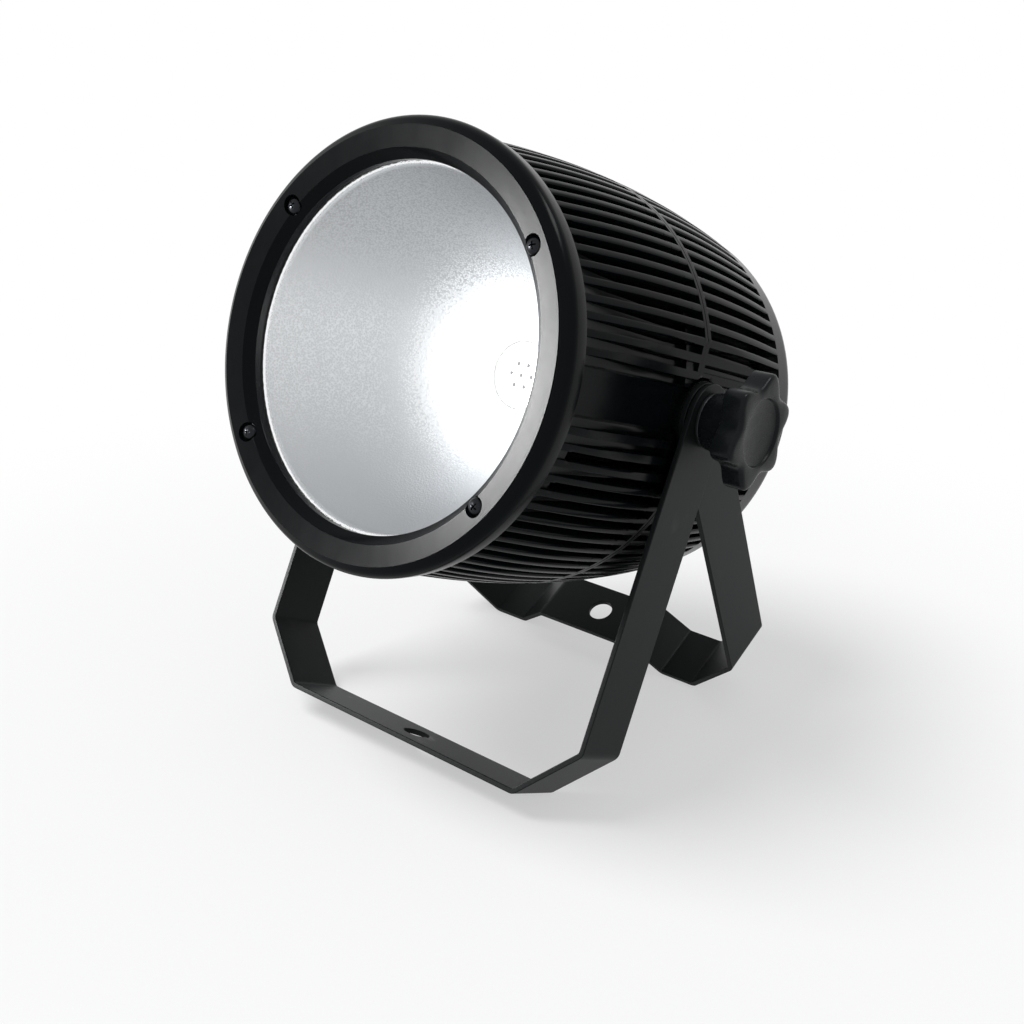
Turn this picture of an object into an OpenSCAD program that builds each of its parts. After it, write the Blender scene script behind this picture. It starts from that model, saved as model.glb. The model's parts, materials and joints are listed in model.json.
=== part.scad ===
// Par can light: a ribbed round head between two steel yokes that spread into a floor stand.
// Millimetres, +Z up. The beam leaves toward -Y, raised by head_tilt at rest.
// Origin: on the floor, under the middle of the whole light.
// Head parts are drawn about the pivot with the beam along +z, up along +y and +x to the right
// of someone who looks at the lens, then turned into place by in_head().

/* [Stand] */
// Rise of the beam above level
head_tilt = 17.75; // [0:0.25:40]
// Lean of the front yoke away from upright
yoke_lean = 26; // [18:1:36]
// Pivot axis to the underside of the front yoke's bar
yoke_drop = 181.5; // [172:0.5:230]
// Pivot axis to the underside of the rear yoke's feet
rear_drop = 181.5; // [176:0.5:230]
// Width of the yoke strap
strap_w = 32; // [26:1:38]
// Thickness of the yoke strap
strap_t = 2.5; // [2:0.1:3.5]
// Size of the sloped corners of the yokes, along the arm and along the bar
yoke_corner = 27; // [18:1:34]
// Centre-line radius of every bend in the straps
bend_r = 4; // [3:0.5:6]
// Lift of the middle of the rear yoke's bar
joggle_lift = 12; // [6:0.5:16]
// Width of the flat middle of the rear yoke's bar
joggle_flat = 64; // [44:1:70]
// Length of each ramp beside that flat middle, along the bar
joggle_ramp = 15.5; // [10:0.5:20]
// Diameter of the clamp bolt hole in each bar
clamp_hole = 13; // [10:0.5:14]

/* [Body] */
// Greatest radius over the ribs
body_r = 98.6; // [94:0.2:118]
// How much that radius has shrunk at the bezel
barrel_taper = 7.25; // [4:0.25:9]
// Half of the width over the flat flanks
flank_x = 92.6; // [88:0.2:93]
// Pivot axis to the bezel's back edge
front_len = 96.6; // [88:0.2:116]
// Pivot axis to the back face
rear_len = 100; // [96:0.5:120]
// Number of ribs round the body
rib_count = 84; // [60:4:96]
// Width of the slots between ribs
slot_w = 3.9; // [2.5:0.1:4.2]
// Depth of the ribs
rib_depth = 8; // [6:0.5:10]
// Pivot axis to the seam between the front and rear shells, along the beam
seam_d = 6.5; // [4:0.5:8]
// Rounding of the rear shell's edge
rear_round = 14; // [8:1:16]
// Half height of the smooth pad on each flank
pad_half = 17; // [16.8:0.1:19]
// Depth of that pad below the flank
pad_depth = 2.6; // [1.5:0.1:3]

/* [Bezel and optics] */
// Width of the bezel's rounded edge
bezel_round = 6; // [4:0.5:9]
// How far the bezel's rim lies inside the body's greatest radius
bezel_inset = 3.4; // [1:0.1:5]
// Bezel's back edge to its front face
bezel_depth = 12.6; // [11:0.2:16]
// Inner radius of the bezel's front face
bezel_in_r = 81.5; // [80.5:0.1:83]
// Inner radius of the reflector's rim
reflector_r = 77.3; // [72:0.1:78]
// Inner radius of the reflector's base
reflector_base_r = 16.5; // [16:0.1:20]
// Thickness of the spun reflector
reflector_t = 1; // [0.8:0.1:1.5]
// Circle radius of the bezel screws and tie screws
screw_ring_r = 83.5; // [82.5:0.1:85]
// Angle of those screws above and below the side pads
screw_angle = 37.3; // [30:0.1:50]
// Radius of the light-emitting disc
emitter_r = 14; // [10:0.5:15]
// Side of the emitter's square ceramic board
cob_side = 38; // [34:0.5:40]

/* [Cooling] */
// Outer radius of the heat sink's fins
sink_r = 75; // [68:0.5:76]
// Length of the fins
fin_len = 44; // [30:1:46]
// Number of fins
fin_count = 36; // [24:4:48]
// Side of the square fan
fan_side = 80; // [70:1:84]
// Depth of the fan
fan_depth = 15; // [13:1:18]

/* [Pivot] */
// Radius of the knurled friction discs
disc_r = 16.5; // [14:0.1:16.6]
// Thickness of the friction discs
disc_t = 3.2; // [3:0.1:4]
// Radius of the knob studs
stud_r = 4; // [3:0.1:5]
// Radius of the knob's points
knob_r = 25.5; // [20:0.5:28]
// Length of the knob, hub and head together
knob_len = 24.1; // [20:0.1:32]
// Length of the knob's head
knob_head = 10.8; // [9:0.1:14]
// Radius of the knob's hub
hub_r = 12.5; // [10:0.5:14]
// Number of points on the knob
knob_points = 6; // [5:1:8]

/* [Rear panel] */
// Radius of the rear panel
panel_r = 76; // [75:0.5:78]
// Thickness of the rear panel
panel_t = 1.5; // [1:0.1:2]
// Height of the display on the panel
display_y = 43; // [41:0.5:46]
// Height of the row of buttons on the panel
button_y = 21; // [18:0.5:23]
// Distance between buttons
button_pitch = 14; // [12:0.5:15]
// Radius of the buttons
button_r = 3.5; // [3:0.1:4]
// Travel of the buttons
button_travel = 0.8; // [0.4:0.1:1]
// Distance from the middle to each data socket
data_x = 40; // [36:0.5:44]
// Distance from the middle to each mains socket
mains_x = 20; // [18:0.5:24]
// Height of the mains sockets on the panel
mains_y = -42; // [-46:0.5:-38]

/* [Hidden] */
$fn = 96;

// Clearances
run_gap = 0.1;   // between faces that turn on each other
fit_gap = 0.05;  // round a shaft, insert or screw in its hole
slip_gap = 0.2;  // round parts dropped into pockets

// Stack of the pivot, outward from the head's pad
pad_x = flank_x - pad_depth;
rear_arm_x = pad_x + disc_t + run_gap;
spacer_x = rear_arm_x + strap_t + run_gap;
spacer_t = 0.5;
front_arm_x = spacer_x + spacer_t;
washer_x = front_arm_x + strap_t + run_gap;
washer_t = 1.5;
knob_x = washer_x + washer_t + run_gap;
insert_len = 13;
knob_turn = 40;                         // where the knobs' points stand
insert_r = 7.5;

// Heights: both bars stand on the floor, so the rear yoke's lean follows its length
pivot_z = yoke_drop * cos(yoke_lean) + strap_w / 2 * sin(yoke_lean);
rear_lean = atan2(strap_w / 2, rear_drop) + acos(pivot_z / norm([rear_drop, strap_w / 2]));

// Stations along the beam, forward of the pivot
bezel_front_d = front_len + bezel_depth;
seat_d = front_len + 1.2;               // the front shell's seat for the reflector's flange
flange_t = 1.2;
flange_r = 87;
gasket_t = 0.5;
rim_d = seat_d + flange_t;
base_d = 7.5;                           // the reflector's base
spigot_r = 88;
ledge_r = reflector_r + 2.5;
ledge_d = front_len - 8.6;
front_ring_d = front_len - 4.6;         // where the slots end at the bezel
lap_d = seam_d + 10.5;                  // end of the rear shell's spigot
lap_cut = 5;                            // depth of the ribs over that spigot
seam_rim = 2.3;                         // rings that close the slots at the seam
rear_slot_d = seam_d - 3.1;
rear_slot_end = -(rear_len - 26);
sink_d = 4;                             // the heat sink's front face
sink_plate = 6;
fan_d = sink_d - sink_plate - fin_len - 1;
round_d = -(rear_len - rear_round);     // where the rear edge starts to round
round_r = barrel(round_d) - rear_round;
panel_d = -rear_len + panel_t;          // inner face of the rear panel
back_wall = 3;
column_r = 4.5;
tie_r = 1.9;
screw_r = 1.75;
screw_heads_r = 3.7;
screw_angles = [for (a = [screw_angle, 180 - screw_angle]) for (s = [1, -1]) s * a];

// Safety eye on the rear panel
eye_y = 64;
eye_r = 6.5;
eye_hole_r = 3.5;
eye_t = 3;
eye_d = -rear_len - 5.5;                // clear of the panel's screw heads

// The bounding box is centred on the origin from front to back
front_reach = (bezel_front_d - bezel_round) * cos(head_tilt)
    + (barrel(0) - bezel_inset - bezel_round) * sin(head_tilt) + bezel_round;
rear_reach = max(-round_d * cos(head_tilt) + round_r * sin(head_tilt) + rear_round,
    (eye_r - eye_d) * cos(head_tilt) + (eye_y + eye_t / 2) * sin(head_tilt));
pivot_y = (front_reach - rear_reach) / 2;

// ---------- placing ----------

module at_pivot() {
    translate([0, pivot_y, pivot_z]) children();
}

module in_head() {
    at_pivot() rotate([90 - head_tilt, 0, 0]) children();
}

module in_yoke(lean) {
    at_pivot() rotate([lean, 0, 0]) children();
}

// A cylinder along the pivot axis, on the side of sign side, between two distances from the middle
module axle(side, x_in, x_out, r) {
    translate([side * x_in, 0, 0]) rotate([0, side * 90, 0]) cylinder(h = x_out - x_in, r = r);
}

// Children at each bezel screw and tie screw
module at_screws() {
    for (a = screw_angles) rotate(a) translate([screw_ring_r, 0, 0]) children();
}

// Children at each screw of the rear panel
module at_panel_screws() {
    for (i = [0 : 5]) rotate(30 + i * 60) translate([panel_r - 3.4, 0, 0]) children();
}

module tube(r_out, r_in, h) {
    difference() {
        cylinder(h = h, r = r_out);
        translate([0, 0, -1]) cylinder(h = h + 2, r = r_in);
    }
}

// A box centred in x and y that rises from z = 0
module slab(w, l, h) {
    translate([-w / 2, -l / 2, 0]) cube([w, l, h]);
}

// A pan-head screw with a crossed recess: its head rises from z = 0 and its shank goes down
module cross_screw(head_r, head_h, shank_r, shank_len) {
    difference() {
        union() {
            cylinder(h = head_h * 0.6, r = head_r);
            translate([0, 0, head_h * 0.6]) cylinder(h = head_h * 0.4, r1 = head_r, r2 = head_r * 0.72);
            translate([0, 0, -shank_len]) cylinder(h = shank_len + 0.01, r = shank_r);
        }
        for (a = [0, 90]) rotate(a) translate([0, 0, head_h * 0.4])
            slab(head_r * 1.2, head_r * 0.26, head_h);
    }
}

// ---------- bent straps ----------

function unit(v) = v / norm(v);

// Points of one face of a strap round the bend at b, off to the left of the centre line by off
function bend_points(a, b, c, off, steps = 5) =
    let (
        u = unit(b - a),
        v = unit(c - b),
        turn = u[0] * v[1] - u[1] * v[0] > 0 ? 1 : -1,
        half = acos(u * v) / 2,
        inward = turn * unit([-u[1] - v[1], u[0] + v[0]]),
        centre = b + inward * bend_r / cos(half),
        start = atan2(u[1], u[0])
    )
    [for (i = [0 : steps])
        let (ang = start + turn * 2 * half * i / steps)
        centre - turn * (bend_r - turn * off) * [-sin(ang), cos(ang)]];

function end_point(a, b, at, off) =
    let (u = unit(b - a)) at + off * [-u[1], u[0]];

function strap_face(path, off) =
    let (last = len(path) - 1)
    concat(
        [end_point(path[0], path[1], path[0], off)],
        [for (i = [1 : last - 1]) each bend_points(path[i - 1], path[i], path[i + 1], off)],
        [end_point(path[last - 1], path[last], path[last], off)]
    );

function strap_outline(path) =
    let (far = strap_face(path, -strap_t / 2))
    concat(strap_face(path, strap_t / 2), [for (i = [len(far) - 1 : -1 : 0]) far[i]]);

// A yoke about its pivot, arms down: path is the strap's centre line in x and z
module yoke(path, drop, hole_z) {
    difference() {
        intersection() {
            rotate([90, 0, 0]) linear_extrude(strap_w, center = true) polygon(strap_outline(path));
            rotate([90, 0, 90]) linear_extrude(3 * drop, center = true) {
                circle(strap_w / 2);
                translate([-strap_w / 2, -drop - 1]) square([strap_w, drop + 1]);
            }
        }
        rotate([0, 90, 0]) cylinder(h = 3 * drop, r = stud_r + 0.3, center = true);
        translate([0, 0, hole_z]) cylinder(h = 4 * strap_t, d = clamp_hole, center = true);
    }
}

function yoke_side(x, drop, s) = [
    [s * x, strap_w],
    [s * x, -drop + yoke_corner],
    [s * (x - yoke_corner), -drop],
];

module front_yoke() {
    x = front_arm_x + strap_t / 2;
    drop = yoke_drop - strap_t / 2;
    right = yoke_side(x, drop, 1);
    color("#26282a") in_yoke(-yoke_lean)
        yoke(concat(yoke_side(x, drop, -1), [right[2], right[1], right[0]]), yoke_drop, -drop);
}

module rear_yoke() {
    x = rear_arm_x + strap_t / 2;
    drop = rear_drop - strap_t / 2;
    foot_x = joggle_flat / 2 + joggle_ramp;
    left = concat(yoke_side(x, drop, -1), [[-foot_x, -drop], [-joggle_flat / 2, -drop + joggle_lift]]);
    right = [for (i = [len(left) - 1 : -1 : 0]) [-left[i][0], left[i][1]]];
    color("#26282a") in_yoke(rear_lean)
        yoke(concat(left, right), rear_drop, -drop + joggle_lift);
}

// ---------- pivots and knobs ----------

module yoke_spacers() {
    color("#d8d8d0") at_pivot() for (side = [-1, 1]) difference() {
        axle(side, spacer_x, spacer_x + spacer_t, 13);
        axle(side, spacer_x - 1, spacer_x + spacer_t + 1, stud_r + 0.3);
    }
}

module friction_discs() {
    teeth = 60;
    color("#1c1d1f") in_head() for (side = [-1, 1]) difference() {
        translate([side * pad_x, 0, 0]) rotate([0, side * 90, 0]) linear_extrude(disc_t)
            polygon([for (i = [0 : 2 * teeth - 1])
                let (r = i % 2 == 0 ? disc_r : disc_r - 0.6, a = i * 180 / teeth) r * [cos(a), sin(a)]]);
        axle(side, pad_x - 1, pad_x + disc_t + 1, stud_r + 0.3);
    }
}

module pivot_inserts() {
    color("#c9a24a") in_head() for (side = [-1, 1]) difference() {
        axle(side, pad_x - insert_len, pad_x, insert_r);
        axle(side, pad_x - insert_len - 1, pad_x + 1, stud_r + fit_gap);
    }
}

module washer(side) {
    color("#8d9094") at_pivot() difference() {
        axle(side, washer_x, washer_x + washer_t, 12);
        axle(side, washer_x - 1, washer_x + washer_t + 1, stud_r + fit_gap);
    }
}

module stud(side) {
    color("#9a9da0") at_pivot()
        axle(side, pad_x - insert_len + 1, knob_x + knob_len - 6, stud_r);
}

// Outline of the knob's head: a circle with evenly spaced rounded points
function star(r, dip, n) =
    [for (a = [0 : 3 : 357]) (r - dip * pow(0.5 - 0.5 * cos(n * a), 1.3)) * [cos(a), sin(a)]];

module knob(side) {
    hub_len = knob_len - knob_head;
    web_w = 4;
    color("#18191b") at_pivot() rotate([0, 0, side > 0 ? 0 : 180]) translate([knob_x, 0, 0])
        rotate([0, 90, 0]) rotate(knob_turn) difference() {
            union() {
                cylinder(h = hub_len + 1, r = hub_r);
                translate([0, 0, hub_len]) linear_extrude(knob_head)
                    polygon(star(knob_r, knob_r * 0.24, knob_points));
                for (i = [0 : knob_points - 1]) rotate(i * 360 / knob_points)
                    translate([hub_r - 2, -web_w / 2, 1]) cube([4.5, web_w, hub_len]);
            }
            translate([0, 0, knob_len - 2.2]) cylinder(h = 3, r = knob_r * 0.6);
            translate([0, 0, -1]) cylinder(h = knob_len - 5, r = stud_r);
        }
}

module washer_right() { washer(1); }
module washer_left() { washer(-1); }
module stud_right() { stud(1); }
module stud_left() { stud(-1); }
module knob_right() { knob(1); }
module knob_left() { knob(-1); }

// ---------- body shells ----------

// Radius over the ribs at a distance d forward of the pivot
function barrel(d) = body_r - barrel_taper * pow(d / front_len, 2);

// Points along the ribs' crest, or inside it by inset, between two stations
function barrel_points(d_from, d_to, steps, inset = 0) =
    [for (i = [0 : steps]) let (d = d_from + (d_to - d_from) * i / steps) [barrel(d) - inset, d]];

// Slots between the ribs, left out where the smooth pads are
module slots(d_from, d_to) {
    pitch = 360 / rib_count;
    pad_angle = asin(pad_half / body_r);
    translate([0, 0, d_from]) linear_extrude(d_to - d_from)
        for (i = [0 : rib_count - 1])
            if (abs(sin(i * pitch)) > sin(pad_angle + pitch / 2) - 0.001)
                rotate(i * pitch) translate([60, -slot_w / 2]) square([60, slot_w]);
}

// The body's flat flanks: what lies between them is kept
module between_flanks() {
    intersection() {
        children();
        translate([0, 0, -2 * rear_len]) slab(2 * flank_x, 4 * body_r, 4 * rear_len);
    }
}

// Recess of the smooth pads, from behind the pivot to the bezel
module pad_recess() {
    for (side = [-1, 1]) {
        translate([side * (pad_x + 20), 0, -20]) slab(40, 2 * pad_half, front_len + 40);
        axle(side, pad_x - 0.001, pad_x + 40, pad_half);
        translate([side * (pad_x + 20), 0, -20]) rotate([0, 90, 0])
            cylinder(h = 40, r = pad_half, center = true);
    }
}

// A turned hollow, less the thick walls behind the pads, which it leaves standing
module hollow(outline, wall_from, wall_to) {
    difference() {
        rotate_extrude() polygon(outline);
        for (side = [-1, 1]) translate([side * (pad_x - 3), 0, wall_from])
            slab(12, 2 * pad_half + 8, wall_to - wall_from);
    }
}

// Columns for the bezel screws and tie screws, each with a web to the wall
module columns(d_from, d_to, web_from) {
    at_screws() {
        translate([0, 0, d_from]) cylinder(h = d_to - d_from, r = column_r);
        translate([0, -1.5, web_from]) cube([barrel(web_from) - screw_ring_r - 3.5, 3, d_to - web_from]);
    }
}

module front_shell() {
    wall_top = ledge_d - 2;
    color("#1b1c1e") in_head() difference() {
        between_flanks() {
            difference() {
                rotate_extrude() polygon(concat(
                    barrel_points(seam_d, front_len, 5),
                    [[spigot_r, front_len], [spigot_r, seat_d], [ledge_r, seat_d], [ledge_r, seam_d]]));
                hollow(concat(
                    [[ledge_r - 2, seam_d - 1], [ledge_r - 2, ledge_d], [ledge_r, ledge_d]],
                    barrel_points(wall_top, lap_d, 3, rib_depth),
                    [[barrel(lap_d) - rib_depth, seam_d - 1]]), lap_d, front_len);
                rotate_extrude() polygon([
                    [ledge_r - 2, seam_d - 1], [ledge_r - 2, lap_d],
                    [barrel(lap_d) - lap_cut, lap_d], [barrel(seam_d) - lap_cut, seam_d - 1]]);
                slots(seam_d + seam_rim, front_ring_d);
            }
            columns(sink_d, ledge_d + 1, lap_d + slip_gap);
        }
        pad_recess();
        at_screws() {
            translate([0, 0, front_len - 14]) cylinder(h = 20, r = screw_r + fit_gap);
            cylinder(h = 32, r = tie_r + fit_gap);
        }
    }
}

module rear_shell() {
    arc_steps = 5;
    inner_r = panel_r - 7;
    outer_arc = [for (i = [0 : arc_steps]) let (a = 90 * i / arc_steps)
        [round_r + rear_round * cos(a), round_d - rear_round * sin(a)]];
    color("#1b1c1e") in_head() difference() {
        between_flanks() {
            difference() {
                rotate_extrude() polygon(concat(
                    [[inner_r, lap_d], [barrel(lap_d) - lap_cut - fit_gap, lap_d],
                     [barrel(seam_d) - lap_cut - fit_gap, seam_d]],
                    barrel_points(seam_d, round_d, 5),
                    outer_arc,
                    [[inner_r, -rear_len]]));
                hollow(concat(
                    [[inner_r - 2, lap_d + 1], [inner_r - 2, -rear_len + back_wall + panel_t],
                     [panel_r - 1, -rear_len + back_wall + panel_t]],
                    barrel_points(round_d + 2, lap_d - 2, 4, rib_depth),
                    [[barrel(lap_d) - rib_depth, lap_d + 1]]), -pad_half - 24, lap_d - 1);
                slots(rear_slot_end, rear_slot_d);
            }
            columns(-rear_len + back_wall, sink_d - sink_plate, -rear_len + back_wall);
            for (side = [-1, 1]) axle(side, pad_x - insert_len, pad_x - 1, insert_r + 5);
        }
        pad_recess();
        for (side = [-1, 1]) axle(side, pad_x - insert_len - 1, pad_x + 1, insert_r + fit_gap);
        translate([0, 0, -rear_len - 1]) cylinder(h = panel_t + 1, r = panel_r + fit_gap);
        at_screws() {
            translate([0, 0, -rear_len - 1]) cylinder(h = rear_len + sink_d, r = tie_r + fit_gap);
            translate([0, 0, -rear_len - 5]) cylinder(h = 9, r = screw_heads_r + slip_gap);
        }
        at_panel_screws() translate([0, 0, -rear_len])
            cylinder(h = back_wall + panel_t + 1, r = 1.5 + fit_gap);
    }
}

module tie_screws() {
    color("#2a2b2d") in_head() at_screws() translate([0, 0, -rear_len + 4]) mirror([0, 0, 1])
        cross_screw(screw_heads_r, 2.4, tie_r, rear_len - 4 + 30);
}

// ---------- bezel and optics ----------

module front_bezel() {
    bezel_r = barrel(0) - bezel_inset;
    inner_d = rim_d + gasket_t;
    arc_steps = 8;
    edge = [for (i = [0 : arc_steps]) let (a = 90 * i / arc_steps)
        [bezel_r - bezel_round + bezel_round * cos(a), bezel_front_d - bezel_round + bezel_round * sin(a)]];
    color("#17181a") in_head() difference() {
        rotate_extrude() polygon(concat(
            [[spigot_r + fit_gap, inner_d], [spigot_r + fit_gap, front_len], [bezel_r, front_len]],
            edge,
            [[bezel_in_r, bezel_front_d], [bezel_in_r, bezel_front_d - 2],
             [bezel_in_r - 0.9, bezel_front_d - 2],
             [reflector_r + 0.6, inner_d + 0.3], [reflector_r + 0.6, inner_d]]));
        at_screws() {
            translate([0, 0, bezel_front_d - 3.2]) cylinder(h = 10, r = screw_heads_r + 0.7);
            translate([0, 0, front_len - 1]) cylinder(h = bezel_depth, r = screw_r + fit_gap);
        }
    }
}

module bezel_screws() {
    color("#101113") in_head() at_screws() translate([0, 0, bezel_front_d - 3.2])
        cross_screw(screw_heads_r, 2.4, screw_r, bezel_depth + 9);
}

module bezel_gasket() {
    color("#3a3a38") in_head() translate([0, 0, rim_d]) tube(reflector_r + 4, reflector_r + 1, gasket_t);
}

// Parabola of the reflector's inner face: station at radius r
function bowl_d(r) = base_d + (rim_d - base_d) * (r * r - reflector_base_r * reflector_base_r)
    / (reflector_r * reflector_r - reflector_base_r * reflector_base_r);
function bowl_slope(r) = 2 * r * (rim_d - base_d)
    / (reflector_r * reflector_r - reflector_base_r * reflector_base_r);

module reflector() {
    steps = 14;
    radii = [for (i = [0 : steps]) reflector_base_r + (reflector_r - reflector_base_r) * i / steps];
    inner = [for (r = radii) [r, bowl_d(r)]];
    outer = [for (i = [steps - 1 : -1 : 0])
        let (r = radii[i], s = bowl_slope(r)) [r, bowl_d(r)] + reflector_t * [s, -1] / norm([s, -1])];
    color("#b9bcc0") in_head() difference() {
        rotate_extrude() polygon(concat(
            inner, [[flange_r, rim_d], [flange_r, seat_d], [reflector_r + reflector_t, seat_d]], outer));
        at_screws() translate([0, 0, seat_d - 1]) cylinder(h = 4, r = screw_r + 0.5);
    }
}

cob_t = 1;
holder_h = 2.5;
holder_r = 29;
holder_screw_r = 24.2;

module cob_board() {
    color("#e8e8e4") in_head() translate([0, 0, sink_d]) rotate(45) slab(cob_side, cob_side, cob_t);
}

module cob_emitter() {
    face = sink_d + cob_t;
    color("#f3df7a") in_head() {
        translate([0, 0, face]) cylinder(h = 1.6, r = emitter_r);
        translate([0, 0, face + 1.6]) cylinder(h = 0.5, r = 1.1);
        for (i = [0 : 5]) rotate(i * 60) translate([emitter_r * 0.42, 0, face + 1.6])
            cylinder(h = 0.5, r = 1.1);
    }
}

module cob_holder() {
    color("#d9dadb") in_head() translate([0, 0, sink_d]) difference() {
        cylinder(h = holder_h, r = holder_r);
        translate([0, 0, -1]) rotate(45)
            slab(cob_side + slip_gap, cob_side + slip_gap, cob_t + 1 + fit_gap);
        cylinder(h = 3 * holder_h, r = reflector_base_r - 0.7);
        for (a = [0, 90, 180, 270]) rotate(a) translate([cob_side * 0.74, 0, -1]) cylinder(h = 9, r = 3);
        for (a = [45, 225]) rotate(a) translate([holder_screw_r, 0, -1]) cylinder(h = 9, r = 1.5 + fit_gap);
    }
}

module cob_screws() {
    color("#b0b2b4") in_head() for (a = [45, 225]) rotate(a)
        translate([holder_screw_r, 0, sink_d + holder_h]) cross_screw(2.6, 1.6, 1.5, holder_h + 4);
}

// ---------- cooling ----------

fan_hole = fan_side / 2 - 4.25;

module heat_sink() {
    color("#9fa2a5") in_head() difference() {
        union() {
            translate([0, 0, sink_d - sink_plate]) cylinder(h = sink_plate, r = sink_r);
            translate([0, 0, sink_d - sink_plate - fin_len]) {
                cylinder(h = fin_len + 1, r = 17);
                for (i = [0 : fin_count - 1]) rotate((i + 0.5) * 360 / fin_count)
                    translate([15, -0.8, 0]) cube([sink_r - 16, 1.6, fin_len + 1]);
                for (x = [-1, 1]) for (y = [-1, 1])
                    translate([x * fan_hole, y * fan_hole, 0]) cylinder(h = fin_len + 1, r = 4.5);
            }
            for (a = screw_angles) rotate(a) translate([0, 0, sink_d - sink_plate]) {
                translate([sink_r - 8, -column_r + 0.5, 0])
                    cube([screw_ring_r - sink_r + 8, 2 * column_r - 1, sink_plate]);
                translate([screw_ring_r, 0, 0]) cylinder(h = sink_plate, r = column_r);
            }
        }
        at_screws() translate([0, 0, sink_d - sink_plate - 1])
            cylinder(h = sink_plate + 2, r = tie_r + fit_gap);
        for (a = [45, 225]) rotate(a) translate([holder_screw_r, 0, sink_d - 4.5])
            cylinder(h = 6, r = 1.5 + fit_gap);
        for (x = [-1, 1]) for (y = [-1, 1])
            translate([x * fan_hole, y * fan_hole, fan_d - 1]) cylinder(h = 20, r = 1.9 + fit_gap);
    }
}

rotor_r = fan_side / 2 - 2.5;
hub_plate = 2;

module fan_frame() {
    back = fan_d - fan_depth;
    color("#1e1f21") in_head() difference() {
        union() {
            difference() {
                translate([0, 0, back]) slab(fan_side, fan_side, fan_depth);
                translate([0, 0, back - 1]) cylinder(h = fan_depth + 2, r = rotor_r + 1);
            }
            translate([0, 0, back]) {
                cylinder(h = hub_plate, r = 15);
                for (a = [45 : 90 : 315]) rotate(a) translate([0, -2, 0]) cube([rotor_r + 3, 4, hub_plate]);
            }
            for (x = [-1, 1]) for (y = [-1, 1])
                translate([x * fan_hole, y * fan_hole, fan_d]) cylinder(h = 1, r = 4);
        }
        translate([0, 0, back - 1]) cylinder(h = hub_plate + 2, r = 2 + fit_gap);
        for (x = [-1, 1]) for (y = [-1, 1])
            translate([x * fan_hole, y * fan_hole, back - 1]) cylinder(h = fan_depth + 3, r = 2.1);
    }
}

module fan_rotor() {
    back = fan_d - fan_depth + hub_plate + 0.4;
    height = fan_depth - hub_plate - 1.4;
    color("#2b2c2e") in_head() {
        translate([0, 0, back]) {
            cylinder(h = height, r = 14);
            intersection() {
                difference() {
                    cylinder(h = height, r = rotor_r);
                    translate([0, 0, -1]) cylinder(h = height + 2, r = 13);
                }
                for (i = [0 : 6]) rotate(i * 360 / 7) translate([0, 0, height / 2]) rotate([42, 0, 0])
                    translate([13, -fan_depth, -0.7]) cube([rotor_r, 2 * fan_depth, 1.4]);
            }
        }
        translate([0, 0, back - hub_plate]) cylinder(h = hub_plate + 1, r = 2);
    }
}

module fan_screws() {
    color("#b0b2b4") in_head() for (x = [-1, 1]) for (y = [-1, 1])
        translate([x * fan_hole, y * fan_hole, fan_d - fan_depth]) mirror([0, 0, 1])
            cross_screw(3.4, 2, 1.9, fan_depth + 12);
}

// ---------- electronics ----------

board_d = fan_d - fan_depth - 8;
board_t = 1.6;
post_x = 50;
post_y = 25;
control_d = panel_d + 4.9;

module driver_board() {
    color("#2f5d3a") in_head() {
        difference() {
            translate([0, 0, board_d - board_t]) slab(112, 60, board_t);
            for (x = [-1, 1]) for (y = [-1, 1])
                translate([x * post_x, y * post_y, board_d - 5]) cylinder(h = 9, r = 1.6);
        }
        translate([0, 14, board_d - board_t - 14]) slab(26, 20, 14.01);
        for (x = [-1, 1]) translate([x * 22, 20, board_d - board_t - 13]) cylinder(h = 13.01, r = 6);
        translate([0, -18, board_d - board_t - 5]) slab(44, 14, 5.01);
        translate([-44, 4, board_d - 0.01]) slab(14, 20, 5);
        translate([44, 4, board_d - 0.01]) slab(14, 20, 5);
    }
}

module standoffs() {
    color("#c8a95a") in_head() for (x = [-1, 1]) for (y = [-1, 1]) translate([x * post_x, y * post_y, 0]) {
        translate([0, 0, panel_d]) cylinder(h = board_d - board_t - panel_d, r = 3);
        translate([0, 0, board_d - board_t - 0.01]) cylinder(h = board_t + 1.5, r = 1.5);
    }
}

module control_board() {
    color("#2f5d3a") in_head() {
        translate([0, (display_y + button_y) / 2, control_d]) slab(62, display_y - button_y + 28, board_t);
        for (i = [-1.5 : 1.5]) translate([i * button_pitch, button_y, control_d - 0.9]) slab(6, 6, 0.91);
        for (x = [-1, 1]) for (y = [button_y - 6, display_y + 8])
            translate([x * 28.5, y, panel_d]) cylinder(h = control_d - panel_d, r = 2.2);
    }
}

display_w = 46;
display_h = 20;

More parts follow.
